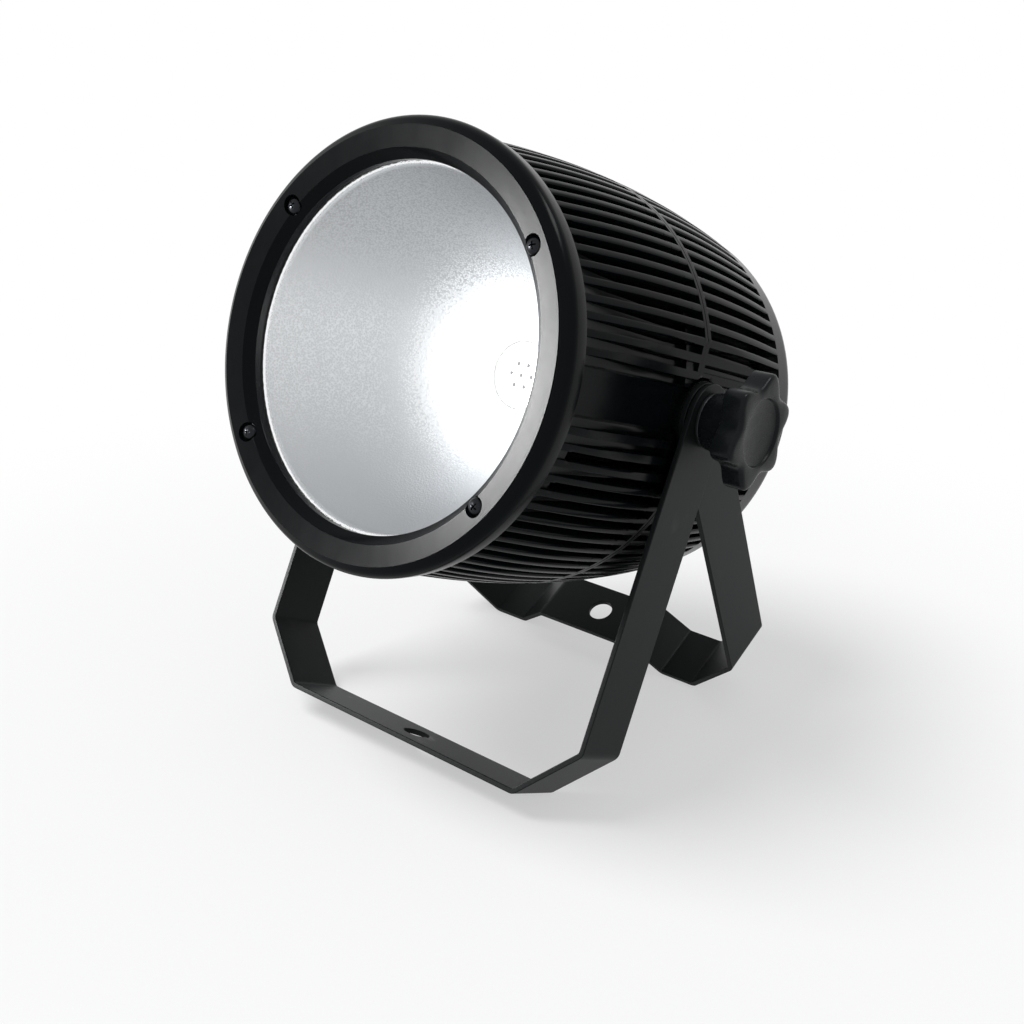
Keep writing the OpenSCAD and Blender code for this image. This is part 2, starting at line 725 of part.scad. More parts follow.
module rear_panel() {
    color("#202224") in_head() difference() {
        translate([0, 0, -rear_len]) cylinder(h = panel_t, r = panel_r);
        translate([0, 0, -rear_len - 1]) {
            translate([0, display_y, 0]) slab(display_w, display_h, 9);
            for (i = [-1.5 : 1.5]) translate([i * button_pitch, button_y, 0])
                cylinder(h = 9, r = button_r + slip_gap);
            for (s = [-1, 1]) {
                translate([s * data_x, -4, 0]) cylinder(h = 9, r = socket_r + fit_gap);
                translate([s * mains_x, mains_y, 0]) cylinder(h = 9, r = socket_r + fit_gap);
                for (c = [-1, 1]) {
                    translate([s * data_x + c * flange_hole_x, -4 - c * flange_hole_y, 0])
                        cylinder(h = 9, r = 1.5 + fit_gap);
                    translate([s * mains_x + c * flange_hole_x, mains_y - c * flange_hole_y, 0])
                        cylinder(h = 9, r = 1.5 + fit_gap);
                }
            }
            translate([data_x, -4 + latch_y, 0]) slab(latch_w + 2 * slip_gap, latch_h + 2 * slip_gap, 9);
            translate([0, fuse_y, 0]) cylinder(h = 9, r = 6 + fit_gap);
            translate([0, eye_y, 0]) slab(2 * eye_r + slip_gap, eye_t + slip_gap, 9);
            at_panel_screws() cylinder(h = 9, r = 1.5 + fit_gap);
        }
    }
}

module panel_screws() {
    color("#b0b2b4") in_head() at_panel_screws() translate([0, 0, -rear_len]) mirror([0, 0, 1])
        cross_screw(2.8, 1.8, 1.5, 5.5);
}

module display_window() {
    color("#31465a") in_head() translate([0, display_y, 0]) {
        translate([0, 0, -rear_len + 0.2])
            slab(display_w - 2 * slip_gap, display_h - 2 * slip_gap, panel_t - 0.2);
        translate([0, 0, panel_d]) slab(display_w + 4, display_h + 4, 0.8);
    }
}

module display_module() {
    color("#3c4145") in_head() translate([0, display_y, panel_d + 0.8])
        slab(display_w + 2, display_h + 2, control_d - panel_d - 0.8);
}

// A button with its retaining collar behind the panel; i counts along the row
module button(i) {
    face_d = -rear_len - 1.3;
    switch_d = control_d - 0.9;
    color("#3b3d40") in_head() translate([i * button_pitch, button_y, 0]) {
        translate([0, 0, face_d])
            cylinder(h = switch_d - button_travel - run_gap - face_d, r = button_r);
        translate([0, 0, panel_d + run_gap]) cylinder(h = 0.9, r = button_r + 1);
    }
}

module button_menu() { button(-1.5); }
module button_down() { button(-0.5); }
module button_up() { button(0.5); }
module button_enter() { button(1.5); }

// ---------- sockets ----------

socket_r = 11.6;
flange_w = 26;
flange_h = 31;
flange_hole_x = 9.5;
flange_hole_y = 12;
flange_d = 2;
latch_w = 7;
latch_h = 3.4;
latch_y = 13.4;
fuse_y = -4;

// Square-flanged round socket in the rear panel, hollow to floor_len, open to the back
module socket_body(bore_r, floor_len, total_len) {
    difference() {
        union() {
            translate([0, 0, -rear_len - flange_d]) slab(flange_w, flange_h, flange_d);
            translate([0, 0, -rear_len - 0.01]) cylinder(h = total_len, r = socket_r);
        }
        translate([0, 0, -rear_len - flange_d - 1]) cylinder(h = floor_len + flange_d + 1, r = bore_r);
        for (c = [-1, 1]) translate([c * flange_hole_x, -c * flange_hole_y, -rear_len - flange_d - 1])
            cylinder(h = flange_d + 2, r = 1.5 + fit_gap);
    }
}

module data_pins(r, d_from, len) {
    for (a = [90, 210, 330]) rotate(a) translate([4.2, 0, d_from]) cylinder(h = len, r = r);
}

module dmx_in() {
    color("#2d2f31") in_head() translate([-data_x, -4, 0]) {
        socket_body(9.6, 12, 16);
        data_pins(1.2, -rear_len, 12.5);
    }
}

module dmx_out() {
    color("#2d2f31") in_head() translate([data_x, -4, 0]) difference() {
        union() {
            socket_body(9.6, 2, 16);
            translate([0, 0, -rear_len - flange_d + 0.4]) cylinder(h = 8, r = 8.6);
        }
        data_pins(1.3, -rear_len - flange_d - 1, 8);
        translate([0, latch_y, -rear_len - flange_d - 1])
            slab(latch_w + 2 * slip_gap, latch_h + 2 * slip_gap, 30);
    }
}

module dmx_latch() {
    color("#c0c2c4") in_head() translate([data_x, -4 + latch_y, 0]) {
        translate([0, 0, -rear_len - flange_d - 2.2]) slab(latch_w, latch_h, 2.2 + flange_d + panel_t + 3);
        translate([0, 0, panel_d + run_gap]) slab(latch_w + 4, latch_h, 1);
    }
}

// Round mains socket: a keyed core stands in the middle of the well
module mains_socket(side) {
    translate([side * mains_x, mains_y, 0]) {
        socket_body(10.2, 14, 20);
        difference() {
            translate([0, 0, -rear_len - 1]) cylinder(h = 16, r = 6.6);
            for (a = [90, 210, 330]) rotate(a) translate([3.8, 0, -rear_len - 2]) slab(1.4, 3.2, 10);
        }
        translate([0, 8, -rear_len]) slab(3, 5, 14.5);
    }
}

module power_in() {
    color("#24466e") in_head() mains_socket(-1);
}

module power_out() {
    color("#8f9296") in_head() mains_socket(1);
}

module socket_screws() {
    centres = [for (s = [-1, 1]) each [[s * data_x, -4], [s * mains_x, mains_y]]];
    color("#b0b2b4") in_head() for (p = centres) for (c = [-1, 1])
        translate([p[0] + c * flange_hole_x, p[1] - c * flange_hole_y, -rear_len - flange_d])
            mirror([0, 0, 1]) cross_screw(2.6, 1.4, 1.5, 6);
}

module fuse_holder() {
    color("#151617") in_head() translate([0, fuse_y, 0]) difference() {
        union() {
            translate([0, 0, -rear_len - 1.5]) cylinder(h = 1.5, r = 8);
            translate([0, 0, -rear_len - 0.01]) cylinder(h = 22, r = 6);
        }
        translate([0, 0, -rear_len - 2]) cylinder(h = 16, r = 4);
    }
}

module fuse_cap() {
    ridges = 24;
    color("#151617") in_head() translate([0, fuse_y, -rear_len - 1.5 - run_gap])
        mirror([0, 0, 1]) difference() {
        union() {
            linear_extrude(5) polygon([for (i = [0 : 2 * ridges - 1])
                let (r = i % 2 == 0 ? 7.2 : 6.8, a = i * 180 / ridges) r * [cos(a), sin(a)]]);
            translate([0, 0, -10]) cylinder(h = 10.01, r = 4 - fit_gap);
        }
        translate([0, 0, 3.8]) slab(9, 1.4, 3);
    }
}

module safety_eye() {
    color("#7d8083") in_head() translate([0, eye_y, 0]) {
        rotate([90, 0, 0]) linear_extrude(eye_t, center = true) difference() {
            union() {
                translate([0, eye_d]) circle(eye_r);
                translate([-eye_r, eye_d]) square([2 * eye_r, panel_d + 1 - eye_d]);
            }
            translate([0, eye_d]) circle(eye_hole_r);
        }
        translate([0, 0, panel_d]) slab(2 * eye_r + 8, 7, 2);
    }
}

front_yoke();
rear_yoke();
yoke_spacers();
friction_discs();
pivot_inserts();
washer_right();
washer_left();
stud_right();
stud_left();
knob_right();
knob_left();
front_bezel();
bezel_screws();
bezel_gasket();
reflector();
front_shell();
rear_shell();
tie_screws();
cob_board();
cob_emitter();
cob_holder();
cob_screws();
heat_sink();
fan_frame();
fan_rotor();
fan_screws();
driver_board();
standoffs();
control_board();
rear_panel();
panel_screws();
display_window();
display_module();
button_menu();
button_down();
button_up();
button_enter();
power_in();
power_out();
dmx_in();
dmx_out();
dmx_latch();
socket_screws();
fuse_holder();
fuse_cap();
safety_eye();
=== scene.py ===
"""Par can light: a ribbed head with a peened reflector, held between two bent steel yokes."""
import json
import logging
import math
from dataclasses import dataclass, field
from enum import Enum
from typing import Callable, Iterable, Sequence

import bmesh
import bpy
import numpy as np
from mathutils import Matrix, Vector

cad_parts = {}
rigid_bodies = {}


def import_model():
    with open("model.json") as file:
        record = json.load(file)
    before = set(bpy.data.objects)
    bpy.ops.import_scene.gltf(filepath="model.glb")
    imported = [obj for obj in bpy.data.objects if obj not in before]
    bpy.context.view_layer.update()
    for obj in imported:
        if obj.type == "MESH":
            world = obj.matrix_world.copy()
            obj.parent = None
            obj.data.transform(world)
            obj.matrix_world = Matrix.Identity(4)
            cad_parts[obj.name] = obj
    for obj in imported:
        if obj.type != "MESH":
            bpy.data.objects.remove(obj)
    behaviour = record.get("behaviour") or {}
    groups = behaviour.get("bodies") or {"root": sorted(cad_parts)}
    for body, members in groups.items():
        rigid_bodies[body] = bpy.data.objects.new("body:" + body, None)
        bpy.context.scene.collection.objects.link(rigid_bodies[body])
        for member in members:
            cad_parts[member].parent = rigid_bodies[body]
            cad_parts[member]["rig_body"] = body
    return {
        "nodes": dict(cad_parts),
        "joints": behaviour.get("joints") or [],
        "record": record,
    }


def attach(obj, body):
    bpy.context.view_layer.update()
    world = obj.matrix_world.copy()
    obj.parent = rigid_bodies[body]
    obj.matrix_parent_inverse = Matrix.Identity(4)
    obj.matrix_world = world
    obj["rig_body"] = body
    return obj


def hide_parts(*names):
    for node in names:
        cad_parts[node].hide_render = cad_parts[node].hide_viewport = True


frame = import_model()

Mesh = bpy.types.Mesh
Pair = tuple[float, float]
Columns = tuple[np.ndarray, ...]
log = logging.getLogger("par_can")

MM = 0.001
STEEP = 35.0  # degrees between faces, above which a softened piece's edge is rounded
BEVEL_STEPS = 2
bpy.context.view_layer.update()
JOINTS = {joint["name"]: joint for joint in frame["joints"]}
SLOT_OF = {part["node"]: part["material_slot"] for part in frame["record"]["subparts"]}


# -- places --


@dataclass(frozen=True)
class Axes:
    """A place to build in: an origin in metres and three directions."""

    origin: Vector
    right: Vector
    up: Vector
    out: Vector

    def place(self, points: np.ndarray) -> np.ndarray:
        """Turns local points in millimetres into row points in metres.

        Args:
            points: An (n, 3) array along right, up and out.

        Returns:
            The same points in the row's frame.
        """
        turn = np.array([self.right, self.up, self.out], float)
        return np.array(self.origin) + np.asarray(points, float) @ turn * MM

    def at(self, x: float, y: float, z: float) -> Vector:
        """Returns one local point in millimetres as a row point in metres."""
        return Vector(self.place(np.array([[x, y, z]]))[0])


def head_axes() -> Axes:
    """Returns the head's axes: out along the beam, from the middle of the pivot."""
    beam = Vector(JOINTS["fan_spin"]["axis"]).normalized()
    right = Vector((1, 0, 0))
    return Axes(Vector(JOINTS["head_tilt"]["pos_m"]), right, beam.cross(right), beam)


HEAD = head_axes()


# -- meshes --


def smoothstep(x: np.ndarray | float) -> np.ndarray:
    """Returns 0 below 0, 1 above 1 and a smooth step between."""
    t = np.clip(x, 0.0, 1.0)
    return t * t * (3 - 2 * t)


@dataclass
class Piece:
    """A finished mesh on its way into the scene.

    Attributes:
        name: The object's name.
        mesh: Its mesh, in row metres.
        slot: The record's material slot.
        body: The body it rides on.
        stands_for: The construction nodes that it replaces.
        crease: The angle, in degrees, above which its edges stay crisp.
        flat: Whether its big faces stay flat beside rounded edges.
    """

    name: str
    mesh: Mesh
    slot: str
    body: str
    stands_for: Sequence[str]
    crease: float
    flat: bool = False

    def add(self, shop: "Workshop") -> None:
        """Links the piece, dresses it and hangs it on its body."""
        obj = bpy.data.objects.new(self.name, self.mesh)
        link(obj)
        self.mesh.shade_smooth()
        self.mesh.set_sharp_from_angle(angle=math.radians(self.crease))
        self.mesh.materials.clear()
        self.mesh.materials.append(shop.material(self.slot))
        if self.flat:
            even = obj.modifiers.new("even", "WEIGHTED_NORMAL")
            even.keep_sharp = True
        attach(obj, self.body)
        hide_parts(*self.stands_for)
        log.info("piece %s: %d faces", self.name, len(self.mesh.polygons))


def link(obj: bpy.types.Object) -> None:
    """Puts an object in the scene."""
    bpy.context.scene.collection.objects.link(obj)


def mesh_of(name: str, points: np.ndarray, faces: Iterable[Sequence[int]]) -> Mesh:
    """Makes a mesh with its normals outward.

    Args:
        name: The mesh's name.
        points: An (n, 3) array in metres.
        faces: Vertex indices, face by face.

    Returns:
        The mesh.
    """
    mesh = bpy.data.meshes.new(name)
    mesh.from_pydata([tuple(p) for p in points], [], [tuple(f) for f in faces])
    shape = bmesh.new()
    shape.from_mesh(mesh)
    bmesh.ops.recalc_face_normals(shape, faces=shape.faces)
    shape.to_mesh(mesh)
    shape.free()
    return mesh


def loft(name: str, axes: Axes, rings: Sequence[np.ndarray], looped: bool = False) -> Mesh:
    """Skins a stack of rings that all have as many points.

    Args:
        name: The mesh's name.
        axes: The place that the rings are given in.
        rings: (n, 3) arrays in millimetres, one for each ring.
        looped: Whether the last ring joins the first; otherwise both ends are closed.

    Returns:
        A closed mesh.
    """
    count = len(rings[0])
    faces: list[tuple[int, ...]] = []
    last = len(rings) if looped else len(rings) - 1
    step = np.arange(count)
    ahead = (step + 1) % count
    for i in range(last):
        a, b = i * count, (i + 1) % len(rings) * count
        faces += list(zip(a + step, a + ahead, b + ahead, b + step))
    if not looped:
        faces += [tuple(step[::-1]), tuple((len(rings) - 1) * count + step)]
    return mesh_of(name, axes.place(np.concatenate(rings)), faces)


def circle(radius: float, out: float, steps: int, x: float = 0.0, y: float = 0.0) -> np.ndarray:
    """Returns one ring of points about (x, y) at the station out, in millimetres."""
    a = np.linspace(0, 2 * math.pi, steps, endpoint=False)
    return np.stack([x + radius * np.cos(a), y + radius * np.sin(a), np.full(steps, out)], 1)


def turned(name: str, profile: Sequence[Pair], steps: int) -> Mesh:
    """Turns a closed outline of (radius, station) pairs, in millimetres, about the beam."""
    return loft(name, HEAD, [circle(r, d, steps) for r, d in profile], looped=True)


def arc(centre: Pair, radius: float, start: float, end: float, steps: int) -> list[Pair]:
    """Returns points of an arc in an outline, with its angles in degrees."""
    angles = np.radians(np.linspace(start, end, steps))
    return [(centre[0] + radius * math.cos(a), centre[1] + radius * math.sin(a)) for a in angles]


def cut(mesh: Mesh, tool: Mesh) -> Mesh:
    """Takes one closed mesh away from another.

    Args:
        mesh: The mesh to cut.
        tool: The mesh to take away.

    Returns:
        A new mesh; both old ones are dropped.
    """
    body, cutter = (bpy.data.objects.new(m.name, m) for m in (mesh, tool))
    for obj in (body, cutter):
        link(obj)
    step = body.modifiers.new("cut", "BOOLEAN")
    step.operation, step.object, step.solver = "DIFFERENCE", cutter, "EXACT"
    result = bpy.data.meshes.new_from_object(body.evaluated_get(bpy.context.evaluated_depsgraph_get()))
    result.name = mesh.name
    for obj in (body, cutter):
        bpy.data.objects.remove(obj)
    for old in (mesh, tool):
        bpy.data.meshes.remove(old)
    return result


def softened(mesh: Mesh, width: float) -> Mesh:
    """Copies a mesh with its doubled points joined and its sharp edges rounded.

    Args:
        mesh: The mesh to copy.
        width: The rounding's width, in millimetres.

    Returns:
        The rounded copy.
    """
    shape = bmesh.new()
    shape.from_mesh(mesh)
    bmesh.ops.remove_doubles(shape, verts=shape.verts, dist=2e-6)
    bmesh.ops.dissolve_limit(
        shape, angle_limit=math.radians(0.6), verts=shape.verts, edges=shape.edges)
    sharp = [e for e in shape.edges
             if len(e.link_faces) == 2 and e.calc_face_angle(0) > math.radians(STEEP)]
    bmesh.ops.bevel(
        shape, geom=sharp, offset=width * MM, offset_type="OFFSET", segments=BEVEL_STEPS,
        profile=0.5, affect="EDGES", clamp_overlap=True)
    bmesh.ops.dissolve_degenerate(shape, dist=1e-7, edges=shape.edges)
    copy = bpy.data.meshes.new(mesh.name + "_soft")
    shape.to_mesh(copy)
    shape.free()
    return copy


# -- shader maths --


class Wire:
    """A value between shader nodes, with sums written as ordinary maths."""

    def __init__(self, paint: "Paint", socket: bpy.types.NodeSocket) -> None:
        """Wraps one output socket of a paint's nodes."""
        self.paint = paint
        self.socket = socket

    def _with(self, operation: str, *others: "Wire | float", turn: bool = False) -> "Wire":
        """Adds one Math node; turn puts this value last."""
        values = [*others, self] if turn else [self, *others]
        return self.paint.node("ShaderNodeMath", {"operation": operation}, dict(enumerate(values)))

    def __add__(self, other: "Wire | float") -> "Wire":
        """Returns self + other."""
        return self._with("ADD", other)

    __radd__ = __add__

    def __sub__(self, other: "Wire | float") -> "Wire":
        """Returns self - other."""
        return self._with("SUBTRACT", other)

    def __rsub__(self, other: float) -> "Wire":
        """Returns other - self."""
        return self._with("SUBTRACT", other, turn=True)

    def __mul__(self, other: "Wire | float") -> "Wire":
        """Returns self * other."""
        return self._with("MULTIPLY", other)

    __rmul__ = __mul__

    def __pow__(self, other: float) -> "Wire":
        """Returns self ** other."""
        return self._with("POWER", other)

    def highest(self, other: "Wire | float") -> "Wire":
        """Returns the larger of two values."""
        return self._with("MAXIMUM", other)

    def between(self, low: float, high: float) -> "Wire":
        """Returns a smooth mask: 0 at low, 1 at high, for either order of the two."""
        return self.paint.node(
            "ShaderNodeMapRange", {"interpolation_type": "SMOOTHSTEP"},
            {"Value": self, "From Min": low, "From Max": high}, "Result")


Colour = tuple[float, float, float]
Value = Wire | float | Colour | Vector


class Grain(Enum):
    """The kinds of surface pattern."""

    CLOUD = "cloud"
    CELLS = "cells"
    STREAKS = "streaks"


class Paint:
    """The node tree of one material, or of the sky."""

    def __init__(self, owner: bpy.types.Material | bpy.types.World) -> None:
        """Starts on a material's Principled shader or a sky's Background."""
        self.owner = owner
        owner.use_nodes = True
        self.tree = owner.node_tree
        shaders = {"Principled BSDF", "Background"}
        self.shader = next(node for node in self.tree.nodes if node.name in shaders)

    def node(self, kind: str, settings: dict[str, object] | None = None,
             sockets: dict[int | str, Value] | None = None, output: int | str = 0) -> Wire:
        """Adds one node.

        Args:
            kind: The node's type.
            settings: Its settings, set first.
            sockets: Values or wires for its inputs.
            output: Which output to return.

        Returns:
            That output.
        """
        made = self.tree.nodes.new(kind)
        for key, value in (settings or {}).items():
            setattr(made, key, value)
        for key, value in (sockets or {}).items():
            self.feed(made.inputs[key], value)
        return Wire(self, made.outputs[output])

    def feed(self, socket: bpy.types.NodeSocket, value: Value) -> None:
        """Links a wire to an input, or writes a value on it."""
        if isinstance(value, Wire):
            self.tree.links.new(value.socket, socket)
        elif isinstance(value, (int, float)):
            socket.default_value = value
        else:
            wide = tuple(value)
            socket.default_value = wide + (1.0,) * (len(socket.default_value) - len(wide))

    def spot(self) -> Wire:
        """Returns the object's own coordinates."""
        return self.node("ShaderNodeTexCoord", output="Object")

    def grain(self, size: float, detail: float = 2.0, stretch: Sequence[float] = (1, 1, 1),
              kind: Grain = Grain.CLOUD) -> Wire:
        """Returns a pattern from 0 to 1.

        Args:
            size: The size of its marks, in millimetres.
            detail: How many finer octaves it has.
            stretch: How its scale changes along each axis.
            kind: The pattern.
        """
        place = self.node("ShaderNodeVectorMath", {"operation": "MULTIPLY"},
                          {0: self.spot(), 1: tuple(s / (size * MM) for s in stretch)})
        if kind is Grain.CELLS:
            return self.node("ShaderNodeTexVoronoi", {"feature": "SMOOTH_F1"},
                             {"Vector": place, "Scale": 1.0, "Smoothness": 0.55}, "Distance")
        if kind is Grain.STREAKS:
            return self.node("ShaderNodeTexNoise", {},
                             {"Vector": place, "Scale": 1.0, "Detail": detail, "Distortion": 0.6}, "Fac")
        return self.node("ShaderNodeTexNoise", {},
                         {"Vector": place, "Scale": 1.0, "Detail": detail, "Roughness": 0.6}, "Fac")

    def along(self, axis: Vector, origin: Vector) -> Wire:
        """Returns the distance from origin along an axis, in millimetres."""
        offset = self.node("ShaderNodeVectorMath", {"operation": "SUBTRACT"}, {0: self.spot(), 1: origin})
        return self.node("ShaderNodeVectorMath", {"operation": "DOT_PRODUCT"},
                         {0: offset, 1: axis}, "Value") * (1 / MM)

    def radius(self, axes: Axes) -> Wire:
        """Returns the distance from the out axis of a place, in millimetres."""
        x, y = self.along(axes.right, axes.origin), self.along(axes.up, axes.origin)
        return (x * x + y * y) ** 0.5

    def mix(self, mask: Value, low: Value, high: Value) -> Wire:
        """Mixes two colours by a mask."""
        return self.node("ShaderNodeMix", {"data_type": "RGBA"}, {0: mask, 6: low, 7: high}, 2)

    def bump(self, height: Wire, depth: float, under: Wire | None = None) -> Wire:
        """Returns a normal for a height map whose depth is in millimetres."""
        sockets: dict[int | str, Value] = {"Height": height, "Distance": depth * MM, "Strength": 1.0}
        if under is not None:
            sockets["Normal"] = under
        return self.node("ShaderNodeBump", {}, sockets, "Normal")

    def set(self, **values: Value) -> None:
        """Feeds the shader's sockets, with _ for the spaces in their names."""
        for name, value in values.items():
            self.feed(self.shader.inputs[name.replace("_", " ")], value)


# -- finishes --


@dataclass(frozen=True)
class Finish:
    """What every finish has: a base colour, its roughness and how much that varies."""

    colour: Colour
    rough: float = 0.5
    spread: float = 0.06

    def tint(self, share: float) -> Colour:
        """Returns the base colour with each channel times a share."""
        return tuple(c * share for c in self.colour)

    def dress(self, paint: Paint) -> None:
        """Builds the finish on a material's nodes."""
        cloud = paint.grain(14.0, 3.0)
        paint.set(
            Base_Color=paint.mix(cloud, self.tint(0.85), self.tint(1.15)),
            Roughness=self.rough - self.spread + 2 * self.spread * cloud)


@dataclass(frozen=True)
class MouldedPlastic(Finish):
    """Black moulded plastic with a fine spark grain, faint flow marks and a little dust."""

    grain_mm: float = 0.42
    depth_mm: float = 0.018
    sheen: float = 0.3

    def dress(self, paint: Paint) -> None:
        """Builds the grain, the flow marks and the dust."""
        flow = paint.grain(26.0, 4.0)
        fine = paint.grain(self.grain_mm, 2.0)
        smear = paint.grain(7.0, 3.0, (1, 0.35, 1), kind=Grain.STREAKS)
        dust = paint.grain(1.6, 5.0).between(0.66, 0.82)
        dark, light = self.tint(0.8), self.tint(1.25)
        body = paint.mix(flow, dark, light)
        paint.set(
            Base_Color=paint.mix(dust * 0.1, body, tuple(c * 6 + 0.01 for c in self.colour)),
            Roughness=self.rough - self.spread + self.spread * (flow + smear),
            Specular_IOR_Level=self.sheen,
            Normal=paint.bump(fine, self.depth_mm, paint.bump(smear, 0.02)))


@dataclass(frozen=True)
class PowderCoat(Finish):
    """Black powder coat on bent steel: a soft orange peel with a fine speckle."""

    sheen: float = 0.35

    def dress(self, paint: Paint) -> None:
        """Builds the peel, the speckle and a few rubbed patches."""
        peel = paint.grain(1.1, 2.0)
        speckle = paint.grain(0.28, 1.0)
        patch = paint.grain(22.0, 5.0)
        rubbed = patch.between(0.6, 0.74)
        dark, light = self.tint(0.82), self.tint(1.2)
        paint.set(
            Base_Color=paint.mix(rubbed * 0.3, paint.mix(patch, dark, light), self.tint(1.9)),
            Roughness=self.rough - 0.1 * rubbed + self.spread * speckle,
            Specular_IOR_Level=self.sheen,
            Normal=paint.bump(speckle, 0.012, paint.bump(peel, 0.03)))


@dataclass(frozen=True)
class KnobNylon(Finish):
    """Glossy black nylon, smeared where hands turn it."""

    sheen: float = 0.2

    def dress(self, paint: Paint) -> None:
        """Builds the smears and the moulding's ripple."""
        smear = paint.grain(5.0, 5.0, (1, 0.6, 1.4), kind=Grain.STREAKS)
        ripple = paint.grain(8.0, 2.0)
        paint.set(
            Base_Color=paint.mix(smear, self.colour, self.tint(1.7)),
            Roughness=self.rough - 0.1 + 0.26 * smear,
            Specular_IOR_Level=self.sheen,
            Normal=paint.bump(ripple, 0.1, paint.bump(smear, 0.02)))


@dataclass(frozen=True)
class PeenedAluminium(Finish):
    """Hammered reflector metal, bright at its rim, with painted shade that darkens it towards its top and
    bottom, and a painted white glow round the emitter.
    """

    cell_mm: float = 0.85
    rim_r: float = 76.4
    # Radius and fade of the painted glow round the emitter.
    painted_glow_r: float = 53.0
    painted_glow_fade: float = 26.0

    def dress(self, paint: Paint) -> None:
        """Builds the peened cells, the painted shade of each zone and the painted glow round the emitter."""
        cells = paint.grain(self.cell_mm, kind=Grain.CELLS)
        fine = paint.grain(0.4, 2.0)
        cloud = paint.grain(30.0, 3.0)
        radius = paint.radius(HEAD)
        rim = radius.between(self.rim_r - 0.3, self.rim_r + 0.2)
        # Painted shade: the base darkens towards the top of the bowl and, less, towards its bottom, in place
        # of the dark surroundings it reflects. It also darkens a little inward from 60 to 44 mm radius.
        zone = radius.between(60.0, 44.0) * 0.7 + 0.3 * cloud
        up = paint.along(HEAD.up, HEAD.origin) + 8 * cloud
        painted_shade = up.between(4, 58).highest(up.between(-12, -66) * 0.6).highest(zone * 0.3)
        base = paint.mix(painted_shade, self.colour, self.tint(0.6))
        sparkle = (fine * cells).between(0.1, 0.42)
        # Painted light: a white glow with a ragged edge, painted as emission on the bowl round the emitter,
        # in place of the emitter's light reflected in it.
        ragged = 16 * (cells - 0.4) * radius.between(26, 44)
        lit = (radius + ragged).between(self.painted_glow_r, self.painted_glow_r - self.painted_glow_fade) * 0.95
        paint.set(
            Base_Color=paint.mix(rim, paint.mix(sparkle, self.tint(0.78), base),
                                 (0.93, 0.94, 0.95)),
            Metallic=1.0,
            Roughness=self.rough + self.spread * fine - 0.2 * rim,
            Emission_Color=paint.mix(lit, (0, 0, 0), (0.95, 0.98, 1.0)),
            Emission_Strength=1.0,
            Normal=paint.bump(fine, 0.02, paint.bump(cells, 0.09)))


@dataclass(frozen=True)
class CastMetal(Finish):
    """Cast or rolled metal with a soft satin skin."""

    grain_mm: float = 0.6
    depth_mm: float = 0.02

    def dress(self, paint: Paint) -> None:
        """Builds the skin's grain and its tarnish."""
        fine = paint.grain(self.grain_mm, 3.0)
        tarnish = paint.grain(9.0, 4.0)
        paint.set(
            Base_Color=paint.mix(tarnish, self.tint(0.8), self.colour),
            Metallic=1.0,
            Roughness=self.rough + self.spread * tarnish,
            Normal=paint.bump(fine, self.depth_mm))


@dataclass(frozen=True)
class BrushedPlate(Finish):
    """Zinc plate with fine turning lines and passivation patches."""

    def dress(self, paint: Paint) -> None:
        """Builds the lines and the patches."""
        lines = paint.grain(0.22, 2.0, (0.12, 1, 1), kind=Grain.STREAKS)
        patch = paint.grain(5.0, 3.0)
        paint.set(
            Base_Color=paint.mix(patch, self.tint(0.82), self.colour),
            Metallic=1.0,
            Roughness=self.rough + self.spread * lines,
            Normal=paint.bump(lines, 0.006))


@dataclass(frozen=True)
class Phosphor(Finish):
    """The lit emitter: pale phosphor under clear silicone, with dimmer spots and a thin grey dam."""

    lit: Colour = (0.96, 0.98, 1.0)
    dim: Colour = (0.05, 0.05, 0.052)
    power: float = 8.0
    dam_r: float = 10.9
    dam_half: float = 0.1
    dam_soft: float = 0.3
    spot_rise: Pair = (6.75, 6.95)

    def dress(self, paint: Paint) -> None:
        """Builds the phosphor's grain, its seven dimmer spots and the dam."""
        grit = paint.grain(0.3, 2.0)
        radius = paint.radius(HEAD)
        dam = radius.between(self.dam_r - self.dam_soft, self.dam_r - self.dam_half)
        dam = dam * radius.between(self.dam_r + self.dam_soft, self.dam_r + self.dam_half)
        spots = paint.along(HEAD.out, HEAD.origin).between(*self.spot_rise)
        spots = spots * radius.between(self.dam_r + 1, self.dam_r)
        dark = spots.highest(dam * 0.9)
        face = paint.mix(grit, self.colour, tuple(min(1.0, c * 1.06) for c in self.colour))
        paint.set(
            Base_Color=paint.mix(dark, face, (0.1, 0.1, 0.1)),
            Roughness=self.rough + self.spread * grit,
            Emission_Color=paint.mix(dark, self.lit, self.dim),
            Emission_Strength=self.power,
            Normal=paint.bump(grit, 0.02))


@dataclass(frozen=True)
class PaintedGlowCeramic(Finish):
    """The white ceramic round the emitter, with a painted glow that whitens it near the emitter as though lit
    by it.
    """

    painted_glow_radius: float = 22.0

    def dress(self, paint: Paint) -> None:
        """Builds the ceramic's grit and the painted glow."""
        grit = paint.grain(0.25, 2.0)
        # Painted light: emission that whitens the ceramic towards the emitter, as though lit by it.
        glow = paint.radius(HEAD).between(self.painted_glow_radius, self.painted_glow_radius - 8) * 0.8
        paint.set(
            Base_Color=paint.mix(grit, self.tint(0.9), self.colour),
            Roughness=self.rough + self.spread * grit,
            Emission_Color=paint.mix(glow, (0, 0, 0), (1, 1, 1)),
            Emission_Strength=1.0,
            Normal=paint.bump(grit, 0.006))


@dataclass(frozen=True)
class SolderMask(Finish):
    """A circuit board: green mask over faint copper tracks."""

    def dress(self, paint: Paint) -> None:
        """Builds the tracks and the mask's gloss."""
        tracks = paint.node(
            "ShaderNodeTexVoronoi", {"feature": "DISTANCE_TO_EDGE", "distance": "EUCLIDEAN"},
            {"Vector": paint.spot(), "Scale": 260.0}, "Distance").between(0.12, 0.05)
        fine = paint.grain(0.5, 2.0)
        paint.set(
            Base_Color=paint.mix(tracks, self.colour, self.tint(2.1)),
            Roughness=self.rough + self.spread * fine,
            Normal=paint.bump(tracks, 0.03))


